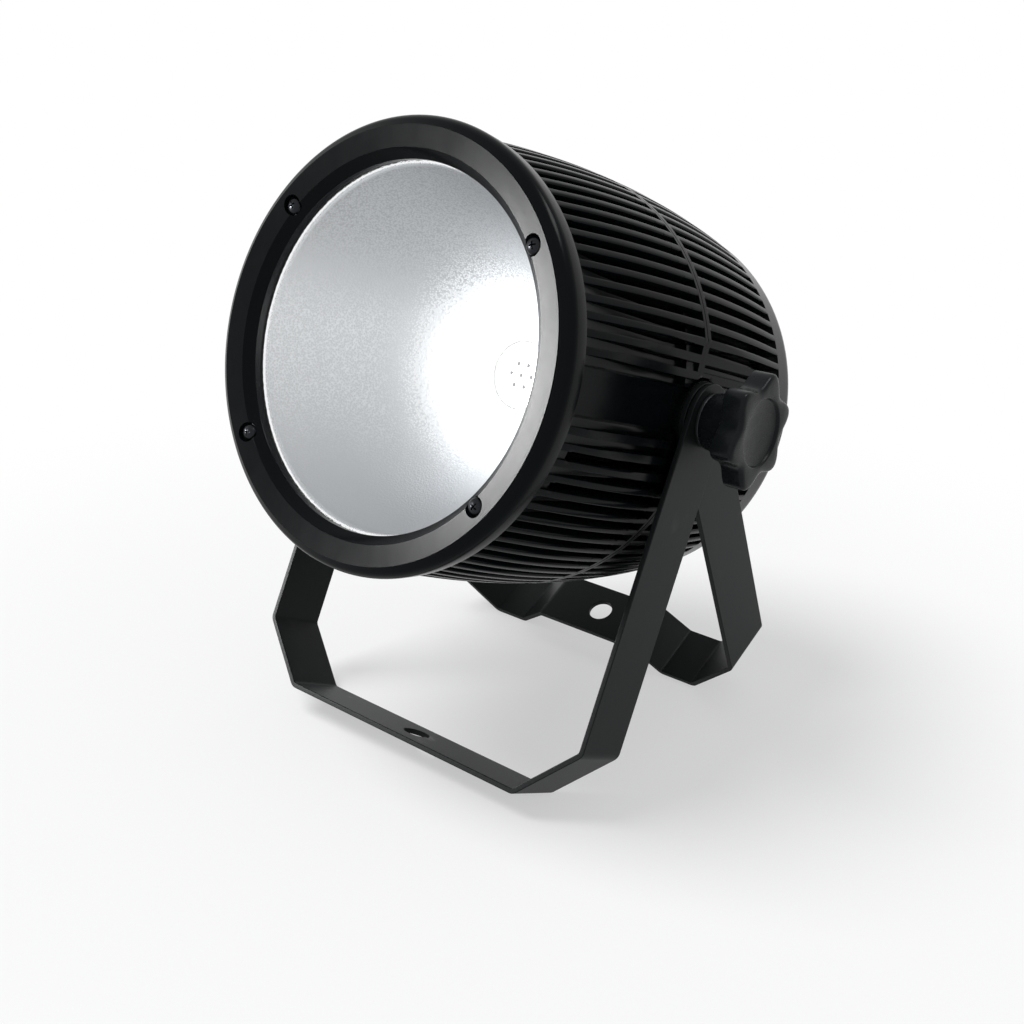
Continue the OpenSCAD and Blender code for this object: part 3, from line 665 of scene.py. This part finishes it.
@dataclass(frozen=True)
class DisplayGlass(Finish):
    """A smoked window over the liquid crystal, with faint finger marks."""

    def dress(self, paint: Paint) -> None:
        """Builds the smoke and the faint finger marks."""
        marks = paint.grain(6.0, 4.0, kind=Grain.STREAKS)
        paint.set(
            Base_Color=paint.mix(marks, self.colour, self.tint(1.3)),
            Roughness=self.rough + 0.14 * marks.between(0.5, 0.75),
            Specular_IOR_Level=0.5)


FINISHES: dict[str, Finish] = {
    "shell_plastic": MouldedPlastic((0.0025, 0.0033, 0.0039), 0.2, 0.04, depth_mm=0.004, sheen=0.048),
    "yoke_paint": PowderCoat((0.0072, 0.0091, 0.0093), 0.4, 0.06, sheen=0.11),
    "knob_plastic": KnobNylon((0.0042, 0.0052, 0.0058), 0.24, sheen=0.1),
    "reflector_aluminium": PeenedAluminium((0.92, 0.935, 0.95), 0.36, 0.06),
    "sink_aluminium": CastMetal((0.32, 0.325, 0.33), 0.5, 0.1),
    "zinc_steel": BrushedPlate((0.06, 0.062, 0.066), 0.34, 0.12),
    "black_screw": BrushedPlate((0.022, 0.023, 0.026), 0.24, 0.1),
    "brass": CastMetal((0.74, 0.56, 0.29), 0.32, 0.1, 0.4, 0.008),
    "nylon": MouldedPlastic((0.62, 0.62, 0.6), 0.5, 0.05, 0.5, 0.01, 0.3),
    "seal_rubber": MouldedPlastic((0.012, 0.012, 0.012), 0.7, 0.05, 0.5, 0.01, 0.15),
    "ceramic": PaintedGlowCeramic((0.82, 0.82, 0.8), 0.5, 0.05),
    "phosphor": Phosphor((0.95, 0.93, 0.84), 0.35),
    "circuit_board": SolderMask((0.03, 0.13, 0.06), 0.4, 0.1),
    "panel_paint": PowderCoat((0.009, 0.0105, 0.011), 0.46, 0.06, sheen=0.11),
    "window_glass": DisplayGlass((0.012, 0.017, 0.021), 0.08),
    "display_face": MouldedPlastic((0.05, 0.075, 0.06), 0.4, 0.05),
    "key_plastic": MouldedPlastic((0.045, 0.045, 0.048), 0.6, 0.05, sheen=0.2),
    "inlet_plastic": MouldedPlastic((0.02, 0.085, 0.26), 0.45, 0.05),
    "outlet_plastic": MouldedPlastic((0.36, 0.37, 0.38), 0.48, 0.05),
}


@dataclass
class Workshop:
    """Holds one material for each slot of the record."""

    made: dict[str, bpy.types.Material] = field(default_factory=dict)

    def material(self, slot: str) -> bpy.types.Material:
        """Returns a slot's material, building it the first time."""
        if slot not in self.made:
            self.made[slot] = bpy.data.materials.new(slot)
            FINISHES[slot].dress(Paint(self.made[slot]))
        return self.made[slot]

    def dress_node(self, node: str) -> None:
        """Gives a construction node its slot's material."""
        mesh = frame["nodes"][node].data
        mesh.materials.clear()
        mesh.materials.append(self.material(SLOT_OF[node]))

    def soften_node(self, node: str, width: float) -> None:
        """Stands a copy with rounded edges, by a width in millimetres, in place of a construction node."""
        source = frame["nodes"][node]
        mesh = softened(source.data, width)
        piece = Piece(node + "_rounded", mesh, SLOT_OF[node], source["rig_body"], (node,), STEEP, True)
        piece.add(self)


# -- the head's shells --


@dataclass
class Shells:
    """The ribbed front and rear shells. Lengths are in millimetres."""

    crest_r: float = 98.6
    taper: float = 7.25
    front_len: float = 96.6
    rear_len: float = 100.0
    round_r: float = 14.0
    flank_x: float = 92.6
    pad_x: float = 90.0
    seam_d: float = 6.5
    rib_count: int = 84
    slot_half: float = 1.95
    groove: float = 8.0
    window: float = 13.0
    inner: float = 15.0
    disc_r: float = 17.0
    strip_low: float = -8.2
    strip_high: float = 11.6
    strip_start: float = -4.0
    pad_soft: float = 0.9
    screw_ring: float = 83.5
    screw_angle: float = 37.3
    panel_r: float = 76.15
    seam_ease: float = 0.3
    start_d: float = 8.75
    shallow_d: float = 17.0
    shallow: float = 4.9
    window_d: float = 85.9
    fade_d: float = 94.4
    rear_start_d: float = 3.45
    rear_fade_d: float = -74.6
    hole_r: float = 3.9

    def crest(self, d: np.ndarray | float) -> np.ndarray:
        """Returns the radius over the ribs at a station."""
        return self.crest_r - self.taper * (np.asarray(d, float) / self.front_len) ** 2

    def grooves(self) -> list[float]:
        """Returns the angles of the grooves in degrees, from 0 to 360."""
        pitch = 360 / self.rib_count
        upper = [k * pitch for k in range(2, self.rib_count // 2 - 1)]
        lower = [-(k + 0.5) * pitch for k in range(1, self.rib_count // 2 - 1)]
        return sorted(a % 360 for a in upper + lower)

    def columns(self) -> Columns:
        """Lays out the columns of the skin round the head.

        Returns:
            For each column its angle, its offset along the arc in millimetres, the share of the
            groove's depth that it has, and the angle of its groove.
        """
        offsets = [1.2, 1.74, 1.9, 2.02, 2.25, 2.7]
        shares = [1.0, 0.97, 0.14, 0.05, 0.016, 0.0]
        rows: list[tuple[float, float, float, float]] = []
        found = self.grooves()
        for this, after in zip(found, found[1:] + [found[0] + 360]):
            rows.append((this, 0, 1, this))
            rows += [(this, offset, share, this) for offset, share in zip(offsets, shares)]
            gap = after - this
            extra = max(1, round(gap * 1.7) - 6) if gap > 6 else 1
            for i in range(extra):
                rows.append((this + gap * (0.5 if extra == 1 else 0.2 + 0.6 * i / (extra - 1)), 0, 0, this))
            rows += [(after, -offset, share, after) for offset, share in zip(offsets[::-1], shares[::-1])]
        angles, shifts, depths, owners = np.array(rows, float).T
        return np.radians(angles), shifts, depths, np.radians(owners)

    def front_depth(self, d: float, owner: np.ndarray) -> np.ndarray:
        """Returns the grooves' depth at a station of the front shell."""
        rise = smoothstep((np.abs(np.sin(owner)) - 0.3) / 0.5)
        reach = 62 - 50 * rise
        fade = np.clip((self.fade_d - d) / reach, 0, 1) ** 0.75
        depth = self.groove * fade
        if d < self.shallow_d:
            depth = np.minimum(depth, self.shallow)
        if d < self.start_d:
            depth = depth * 0
        side = np.degrees(np.arctan2(np.sin(owner), np.abs(np.cos(owner))))
        pitch = 360 / self.rib_count
        windows = (np.abs(side + 3.5 * pitch) < 0.5) | (np.abs(side + 5.5 * pitch) < 0.5)
        return np.where(windows & (self.shallow_d < d < self.window_d), self.window, depth)

    def rear_depth(self, d: float, owner: np.ndarray) -> np.ndarray:
        """Returns the grooves' depth at a station of the rear shell."""
        if d > self.rear_start_d:
            return owner * 0
        return self.groove * np.clip((d - self.rear_fade_d) / 5, 0, 1) ** 0.6 + owner * 0

    def ring(self, d: float, crest: float, depth: np.ndarray, cols: Columns) -> np.ndarray:
        """Returns one ring of the skin.

        Args:
            d: Its station.
            crest: The ribs' radius there.
            depth: The depth of each column's groove.
            cols: The columns.
        """
        base, shift, share, _ = cols
        angle = base + shift / crest
        across, height = np.abs(np.cos(angle)), np.sin(angle)
        flank = self.flank_x / np.maximum(across, 0.2)
        radius = np.minimum(crest - depth * share, flank)
        y = radius * height
        inside = np.maximum(self.disc_r - np.hypot(d, y), np.minimum(
            np.minimum(y - self.strip_low, self.strip_high - y), d - self.strip_start))
        pad = np.minimum(crest, self.pad_x / np.maximum(across, 0.2))
        radius = radius + (pad - radius) * smoothstep(inside / self.pad_soft + 0.4) * (across > 0.7)
        return np.stack([radius * np.cos(angle), radius * height, np.full(len(angle), d)], 1)

    def plain(self, radius: float, d: float, cols: Columns) -> np.ndarray:
        """Returns a round ring with the skin's columns."""
        angle = cols[0] + cols[1] / self.crest_r
        return np.stack([radius * np.cos(angle), radius * np.sin(angle), np.full(len(angle), d)], 1)

    def skin(self, stations: Sequence[float], depth: Callable[[float, np.ndarray], np.ndarray],
             cols: Columns) -> list[np.ndarray]:
        """Returns a shell's rings over its ribs, the first one eased at the seam.

        Args:
            stations: Where the rings are, from the seam.
            depth: Gives the grooves' depth from a station and the grooves' angles.
            cols: The columns.

        Returns:
            The rings.
        """
        eased = [self.seam_ease] + [0.0] * (len(stations) - 1)
        return [self.ring(d, float(self.crest(d)) - ease, depth(d, cols[3]), cols)
                for d, ease in zip(stations, eased)]

    def front(self) -> Mesh:
        """Builds the front shell."""
        cols = self.columns()
        stations = [self.seam_d + 0.04, self.seam_d + 0.3, 7.4, 8.5, 8.72, 8.8, 9.2, 10, 11, 12, 13, 14, 15,
                    16, 16.9, 17.05, 17.6, 18.4, 20, 23, 27, 31, 36, 41, 46, 51, 56, 61, 66, 70, 74, 77,
                    80, 82, 84, 85.8, 86, 88, 89.5, 91, 92, 93, 94, 95, 96, self.front_len]
        rings = self.skin(stations, self.front_depth, cols)
        rings += [self.plain(float(self.crest(self.front_len)) - self.inner, self.front_len, cols),
                  self.plain(self.crest_r - self.inner, self.seam_d + 0.04, cols)]
        return loft("front_shell_skin", HEAD, rings, looped=True)

    def rear(self) -> Mesh:
        """Builds the rear shell, with its four deep screw holes."""
        cols = self.columns()
        stations = [self.seam_d - 0.04, self.seam_d - 0.3, 5.2, 3.7, 3.5, 3.4, 3.0, 2, 1, 0]
        stations += [-1.0 * k for k in range(1, 19)] + [-20, -23, -27, -32, -37, -42, -47, -52, -57, -62, -66,
                                                        -69, -71, -72.5, -73.5, -74.2, -74.6, -75, -78, -82]
        round_d = -(self.rear_len - self.round_r)
        rings = self.skin(stations, self.rear_depth, cols)
        centre = float(self.crest(round_d)) - self.round_r
        for a in np.radians(np.linspace(4, 90, 12)):
            d = round_d - self.round_r * math.sin(a)
            radius = centre + self.round_r * math.cos(a)
            rings.append(self.ring(d, radius, cols[3] * 0, cols))
        inside = self.crest_r - self.inner
        rings += [self.plain(radius, d, cols) for radius, d in (
            (self.panel_r + 0.3, -self.rear_len), (self.panel_r, -self.rear_len + 0.3),
            (self.panel_r, -self.rear_len + 1.5), (self.panel_r - 7, -self.rear_len + 1.5),
            (self.panel_r - 7, -self.rear_len + 12), (inside, -self.rear_len + 34),
            (inside, self.seam_d - 0.04))]
        mesh = loft("rear_shell_skin", HEAD, rings, looped=True)
        ends = (-self.rear_len - 2, -self.rear_len + 4)
        holes = [loft("hole", HEAD, [circle(self.hole_r, d, 40, x, y) for d in ends])
                 for x, y in self.screws()]
        return cut(mesh, joined(holes))

    def screws(self) -> list[Pair]:
        """Returns the places of the four screws, across and up."""
        turns = [math.radians(s * a) for a in (self.screw_angle, 180 - self.screw_angle) for s in (1, -1)]
        return [(self.screw_ring * math.cos(a), self.screw_ring * math.sin(a)) for a in turns]

    def add(self, shop: Workshop) -> None:
        """Adds both shells."""
        Piece("front_shell_skin", self.front(), "shell_plastic", "head", ("front_shell",), 40).add(shop)
        Piece("rear_shell_skin", self.rear(), "shell_plastic", "head", ("rear_shell",), 40).add(shop)


def joined(meshes: Sequence[Mesh]) -> Mesh:
    """Joins several meshes into one."""
    shape = bmesh.new()
    for mesh in meshes:
        shape.from_mesh(mesh)
        bpy.data.meshes.remove(mesh)
    whole = bpy.data.meshes.new("joined")
    shape.to_mesh(whole)
    shape.free()
    return whole


# -- the bezel and the optics --


@dataclass
class Bezel:
    """The front ring, its four screw pockets and their crossed screws. Millimetres."""

    outer_r: float = 95.2
    back_d: float = 96.6
    front_d: float = 109.2
    lip_r: float = 77.5
    step_r: float = 81.4
    step_d: float = 1.95
    band_r: float = 90.3
    band_fall: float = 1.5
    lip_fall: float = 5.4
    round_r: float = 5.2
    seat_r: float = 77.95
    seat_d: float = 99.8
    spigot_r: float = 88.05
    pocket_r: float = 4.4
    pocket_d: float = 3.2
    head_r: float = 3.7
    shank_r: float = 1.7
    cross_wide: float = 2.1
    cross_narrow: float = 0.42

    def ring(self) -> Mesh:
        """Builds the ring with its pockets."""
        rim, face = self.outer_r - self.round_r, self.front_d
        outline = [(self.spigot_r, 99.5), (self.spigot_r, self.back_d), (self.outer_r - 0.9, self.back_d)]
        outline += arc((self.outer_r - 0.9, self.back_d + 0.5), 0.5, -90, 0, 4)
        outline += [(self.outer_r, face - self.round_r - 1.0)]
        outline += arc((rim, face - self.round_r - 0.6), self.round_r, 4, 64, 9)
        outline += [(self.band_r, face), (self.step_r, face - self.band_fall)]
        outline += [(self.step_r - 0.25, face - self.step_d)]
        outline += [(self.lip_r + 0.15, face - self.lip_fall), (self.lip_r, face - self.lip_fall - 0.3)]
        outline += [(self.seat_r, self.seat_d), (self.seat_r + 0.3, 99.5)]
        mesh = turned("bezel_ring", outline, 256)
        pockets = []
        for x, y in Shells().screws():
            floor = face - self.pocket_d
            steps = ((self.pocket_r - 0.35, floor), (self.pocket_r, floor + 0.35), (self.pocket_r, face + 3))
            rings = [circle(radius, d, 48, x, y) for radius, d in steps]
            pockets.append(loft("pocket", HEAD, rings))
        return cut(mesh, joined(pockets))

    def screw(self, x: float, y: float, turn: float) -> Mesh:
        """Builds one domed screw with a crossed recess, turned by an angle in degrees."""
        seat = self.front_d - self.pocket_d
        dome = [(self.head_r - inset, rise) for inset, rise in (
            (0.1, 0.0), (0.0, 0.35), (0.15, 0.95), (0.6, 1.5), (1.3, 1.95), (2.2, 2.25))]
        dome.append((0.9, 2.4))
        rings = [circle(self.shank_r, d, 40, x, y) for d in (seat - 20, seat)]
        rings += [circle(r, seat + z, 40, x, y) for r, z in dome]
        head = loft("screw", HEAD, rings)
        wide, narrow = self.cross_wide, self.cross_narrow
        cross = []
        for k in range(4):
            a = math.radians(turn + 90 * k)
            corner = a - math.pi / 4
            cross.append((narrow * math.cos(corner) * 1.4, narrow * math.sin(corner) * 1.4))
            for s in (-narrow, narrow):
                cross.append((wide * math.cos(a) - s * math.sin(a), wide * math.sin(a) + s * math.cos(a)))
        ring = np.array([[x + p, y + q, 0.0] for p, q in cross])
        low, high = ring.copy(), ring.copy()
        low[:, 2], high[:, 2] = seat + 0.9, seat + 4
        low[:, :2] = (low[:, :2] - (x, y)) * 0.62 + (x, y)
        return cut(head, loft("cross", HEAD, [low, high]))

    def add(self, shop: Workshop) -> None:
        """Adds the ring and the screws."""
        Piece("bezel_ring", self.ring(), "shell_plastic", "head", ("front_bezel",), 17).add(shop)
        turns = (18.0, 61.0, 33.0, 8.0)
        screws = [self.screw(x, y, turn) for (x, y), turn in zip(Shells().screws(), turns)]
        Piece("bezel_screw_set", joined(screws), "black_screw", "head", ("bezel_screws",), 35).add(shop)


@dataclass
class Optics:
    """The reflector and the emitter with its holder. Millimetres."""

    base_r: float = 16.5
    rim_r: float = 77.3
    base_d: float = 7.5
    rim_d: float = 99.0
    wall: float = 1.0
    flange_r: float = 87.0

    def depth(self, r: float) -> float:
        """Returns the station of the reflector's inner face at a radius."""
        span = self.rim_r ** 2 - self.base_r ** 2
        return self.base_d + (self.rim_d - self.base_d) * (r * r - self.base_r ** 2) / span

    def reflector(self) -> Mesh:
        """Builds the bowl with a rolled rim."""
        radii = np.linspace(self.base_r, self.rim_r - 0.9, 40)
        inner = [(float(r), self.depth(float(r))) for r in radii]
        rolled = [(self.rim_r - 0.55, self.rim_d - 1.0), (self.rim_r - 0.2, self.rim_d - 0.3),
                  (self.rim_r + 0.35, self.rim_d - 0.02), (self.flange_r, self.rim_d)]
        back = [(self.flange_r, self.rim_d - 1.1), (self.rim_r + 1.2, self.rim_d - 1.1)]
        outer = [(r + self.wall * 0.8, d - self.wall * 0.5) for r, d in inner[::-1]]
        return turned("reflector_bowl", inner + rolled + back + outer, 192)

    def add(self, shop: Workshop) -> None:
        """Adds the reflector and dresses the emitter."""
        Piece("reflector_bowl", self.reflector(), "reflector_aluminium", "head", ("reflector",), 40).add(shop)
        for node in ("cob_emitter", "cob_holder", "cob_board", "cob_screws", "bezel_gasket"):
            shop.dress_node(node)


# -- knobs, yokes and pivots --


@dataclass
class Knob:
    """A clamping knob with six rounded points and a dished face. Millimetres."""

    side: int
    base_x: float = 100.6
    length: float = 24.1
    head: float = 10.8
    hub_r: float = 12.4
    point_r: float = 25.4
    dip: float = 5.7
    sharp: float = 0.2
    points: int = 6
    turn: float = 40.0
    dish_r: float = 15.2
    dish: float = 2.4
    steps: int = 288
    bore_r: float = 4.3
    web: float = 1.5
    dish_rim: float = 1.3

    def axes(self) -> Axes:
        """Returns the knob's axes: out along its stud."""
        out = Vector((self.side, 0, 0))
        right = Vector((0, 0, -1))
        return Axes(HEAD.origin + out * self.base_x * MM, right, out.cross(right), out)

    def outline(self) -> np.ndarray:
        """Returns the head's outline: rounded points between shallow scallops."""
        turns = self.columns() * self.points
        return self.point_r - self.dip * (0.5 - 0.5 * np.cos(turns)) - self.sharp * (1 - np.cos(2 * turns))

    def columns(self) -> np.ndarray:
        """Returns each column's angle from a point."""
        return np.linspace(0, 2 * math.pi, self.steps, endpoint=False)

    def ring(self, radii: np.ndarray | float, z: float) -> np.ndarray:
        """Returns one ring of the knob."""
        a = self.columns() + math.radians(self.turn)
        radii = radii + 0 * a
        return np.stack([radii * np.cos(a), radii * np.sin(a), z + 0 * a], 1)

    def mesh(self) -> Mesh:
        """Builds the hub, the pointed head and the dish in its face."""
        neck, star, hub = self.length - self.head, self.outline(), self.hub_r
        web = self.web * (0.5 + 0.5 * np.cos(self.columns() * self.points)) ** 2
        rings = [self.ring(radius, z) for radius, z in (
            (self.bore_r, 0.0), (hub - 0.5, 0.0), (hub - 0.15, 0.15), (hub, 0.5), (hub + web * 0.4, 3.0),
            (hub + web, neck - 2.5), (hub + web + 0.3, neck - 1.0))]
        rings += [self.ring((hub + web) * (1 - share) + star * share, z) for share, z in (
            (0.12, neck - 0.35), (0.4, neck), (0.8, neck + 0.1), (0.93, neck + 0.25),
            (0.985, neck + 0.6), (1.0, neck + 1.2))]
        rings += [self.ring(star - inset, self.length - drop) for inset, drop in (
            (0.0, 2.4), (0.06, 1.7), (0.25, 1.15), (0.6, 0.7), (1.1, 0.38), (1.8, 0.16), (2.8, 0.04))]
        rings += [self.ring(self.dish_r - inset, self.length - drop) for inset, drop in (
            (-0.5, 0.0), (0.0, 0.1), (0.25, 0.35), (0.45, 0.8), (0.8, 1.25))]
        bowl = self.dish - self.dish_rim
        rings += [self.ring(self.dish_r * share, self.length - self.dish + bowl * share ** 2)
                  for share in (0.85, 0.7, 0.5, 0.3, 0.1)]
        return loft("knob", self.axes(), rings)

    def add(self, shop: Workshop) -> None:
        """Adds the knob."""
        word = "right" if self.side > 0 else "left"
        node, body = f"knob_{word}", f"knob_{word[0]}"
        Piece(node + "_moulding", self.mesh(), "knob_plastic", body, (node,), 34).add(shop)


@dataclass
class Softened:
    """Nodes that only have their edges eased, each with its rounding's width in millimetres."""

    widths: dict[str, float]

    def add(self, shop: Workshop) -> None:
        """Adds each piece."""
        for node, width in self.widths.items():
            shop.soften_node(node, width)


STEELWORK = Softened({
    "front_yoke": 0.45, "rear_yoke": 0.45, "friction_discs": 0.2, "washer_right": 0.25,
    "washer_left": 0.25, "yoke_spacers": 0.1, "stud_right": 0.3, "stud_left": 0.3, "safety_eye": 0.3})

BACK = Softened({
    "rear_panel": 0.25, "button_menu": 0.35, "button_down": 0.35, "button_up": 0.35,
    "button_enter": 0.35, "power_in": 0.3, "power_out": 0.3, "dmx_in": 0.3, "dmx_out": 0.3,
    "dmx_latch": 0.25, "fuse_holder": 0.25, "fuse_cap": 0.3, "display_window": 0.15,
    "socket_screws": 0.12, "panel_screws": 0.12, "tie_screws": 0.15})


@dataclass
class Works:
    """The heat sink, fan and boards inside."""

    nodes: tuple[str, ...] = (
        "heat_sink", "fan_frame", "fan_rotor", "fan_screws", "driver_board", "standoffs", "control_board",
        "display_module", "pivot_inserts")

    def add(self, shop: Workshop) -> None:
        """Dresses each node."""
        for node in self.nodes:
            shop.dress_node(node)


# -- studio --


@dataclass
class Studio:
    """The floor, lights, surroundings and camera."""

    azimuth: float = 38.31
    elevation: float = 21.54
    roll: float = 1.88
    distance: float = 0.6035
    shift_right: float = -0.0064
    shift_up: float = -0.0649
    lens: float = 44.34
    floor_half: float = 6.0
    fade: Pair = (240.0, 560.0)
    bezel_side: tuple[float, float, float] = (88.0, -15.0, 109.0)
    side_lean: float = 0.2
    window_off: float = 1.3

    def camera(self) -> None:
        """Stands the camera in front of the light, to its right."""
        az, el, roll = (math.radians(a) for a in (self.azimuth, self.elevation, self.roll))
        back = Vector((math.sin(az) * math.cos(el), -math.cos(az) * math.cos(el), math.sin(el)))
        right = (-back).cross(Vector((0, 0, 1))).normalized()
        up = right.cross(-back)
        spot = HEAD.origin + back * self.distance + right * self.shift_right + up * self.shift_up
        across = right * math.cos(roll) + up * math.sin(roll)
        above = up * math.cos(roll) - right * math.sin(roll)
        data = bpy.data.cameras.new("camera")
        data.lens, data.sensor_width = self.lens, 36.0
        data.clip_start, data.clip_end = 0.01, 20
        camera = bpy.data.objects.new("camera", data)
        camera.matrix_world = Matrix((
            (across.x, above.x, back.x, spot.x), (across.y, above.y, back.y, spot.y),
            (across.z, above.z, back.z, spot.z), (0, 0, 0, 1)))
        link(camera)
        bpy.context.scene.camera = camera

    def hang(self, data: bpy.types.Light, spot: Vector, matt: bool) -> None:
        """Hangs one lamp that faces the head.

        Args:
            data: The lamp.
            spot: Where it hangs.
            matt: Whether it lights matt surfaces; otherwise it only shows in glossy ones.
        """
        lamp = bpy.data.objects.new(data.name, data)
        lamp.location = spot
        lamp.rotation_mode = "QUATERNION"
        lamp.rotation_quaternion = (HEAD.origin - spot).to_track_quat("-Z", "Y")
        lamp.visible_diffuse, lamp.visible_glossy = matt, not matt
        link(lamp)
        if not matt:
            lamp.light_linking.receiver_collection = self.spared()

    def spared(self) -> bpy.types.Collection:
        """Returns a collection that spares the reflector from the soft boxes."""
        found = bpy.data.collections.get("spared")
        if found is None:
            found = bpy.data.collections.new("spared")
            found.objects.link(bpy.data.objects["reflector_bowl"])
            found.collection_objects[0].light_linking.link_state = "EXCLUDE"
        return found

    def sun(self, name: str, spot: Vector, strength: float, angle: float) -> None:
        """Hangs a broad even light, its angle in degrees, that shines from spot."""
        data = bpy.data.lights.new(name, "SUN")
        data.energy, data.angle = strength, math.radians(angle)
        self.hang(data, spot, True)

    def gleam(self, name: str, spot: Vector, size: Pair, watts: float) -> None:
        """Hangs a soft box, its size in metres, that only shows in glossy surfaces."""
        data = bpy.data.lights.new(name, "AREA")
        data.shape, data.size, data.size_y, data.energy = "RECTANGLE", size[0], size[1], watts
        self.hang(data, spot, False)

    def seen(self, paint: Paint) -> Wire:
        """Returns 1 for rays from the camera, glossy surfaces and glass, and 0 for the rest."""
        camera, glossy, through = (
            paint.node("ShaderNodeLightPath", output=f"Is {kind} Ray")
            for kind in ("Camera", "Glossy", "Transmission"))
        return camera.highest(glossy).highest(through)

    def floor(self) -> None:
        """Lays a plain pale floor that shows white and keeps the shadow."""
        corners = ((-1, -1), (1, -1), (1, 1), (-1, 1))
        points = np.array([[x, y, 0.0] for x, y in corners]) * self.floor_half
        floor = bpy.data.objects.new("floor", mesh_of("floor", points, [(0, 1, 2, 3)]))
        link(floor)
        paint = Paint(bpy.data.materials.new("floor_paper"))
        grain = paint.grain(2.0, 3.0)
        paint.set(Base_Color=paint.mix(grain, (0.9, 0.9, 0.9), (0.93, 0.93, 0.93)), Roughness=0.8,
                  Specular_IOR_Level=0.0)
        x, y = paint.along(Vector((1, 0, 0)), Vector()), paint.along(Vector((0, 1, 0)), Vector())
        away = ((x * x + y * y) ** 0.5).between(*self.fade)
        white = paint.node("ShaderNodeEmission", {}, {"Color": (1, 1, 1)})
        blend = paint.node("ShaderNodeMixShader", {}, {
            0: self.seen(paint) * (0.5 + 0.5 * away), 1: Wire(paint, paint.shader.outputs[0]), 2: white})
        paint.feed(paint.tree.nodes["Material Output"].inputs["Surface"], blend)
        floor.data.materials.append(paint.owner)

    def surroundings(self) -> None:
        """Sets a soft grey sky that shows white to the camera and in reflections."""
        world = bpy.data.worlds.new("studio")
        bpy.context.scene.world = world
        paint = Paint(world)
        paint.set(Color=paint.mix(self.seen(paint), (0.4, 0.405, 0.415), (1, 1, 1)), Strength=1.0)

    def add(self) -> None:
        """Sets everything up."""
        self.camera()
        self.floor()
        self.surroundings()
        self.sun("key_light", Vector((-0.55, -0.5, 1.5)), 2.2, 30)
        camera = bpy.context.scene.camera.matrix_world.translation
        face = HEAD.at(*self.bezel_side)
        normal = (HEAD.out - self.side_lean * HEAD.right).normalized()
        toward = (camera - face).normalized()
        mirror = 2 * normal.dot(toward) * normal - toward
        self.gleam("window", face + mirror * self.window_off, (0.16, 0.24), 22)
        self.gleam("top_box", Vector((0.5, 0.2, 1.3)), (0.5, 0.3), 6)
        bpy.context.scene.view_settings.view_transform = "Standard"


def main() -> None:
    """Builds the light and its studio."""
    logging.basicConfig(level=logging.INFO, format="%(message)s")
    shop = Workshop()
    for part in (Shells(), Bezel(), Optics(), Knob(1), Knob(-1), STEELWORK, BACK, Works()):
        part.add(shop)
        log.info("built %s", type(part).__name__)
    Studio().add()


if __name__ == "__main__":
    main()
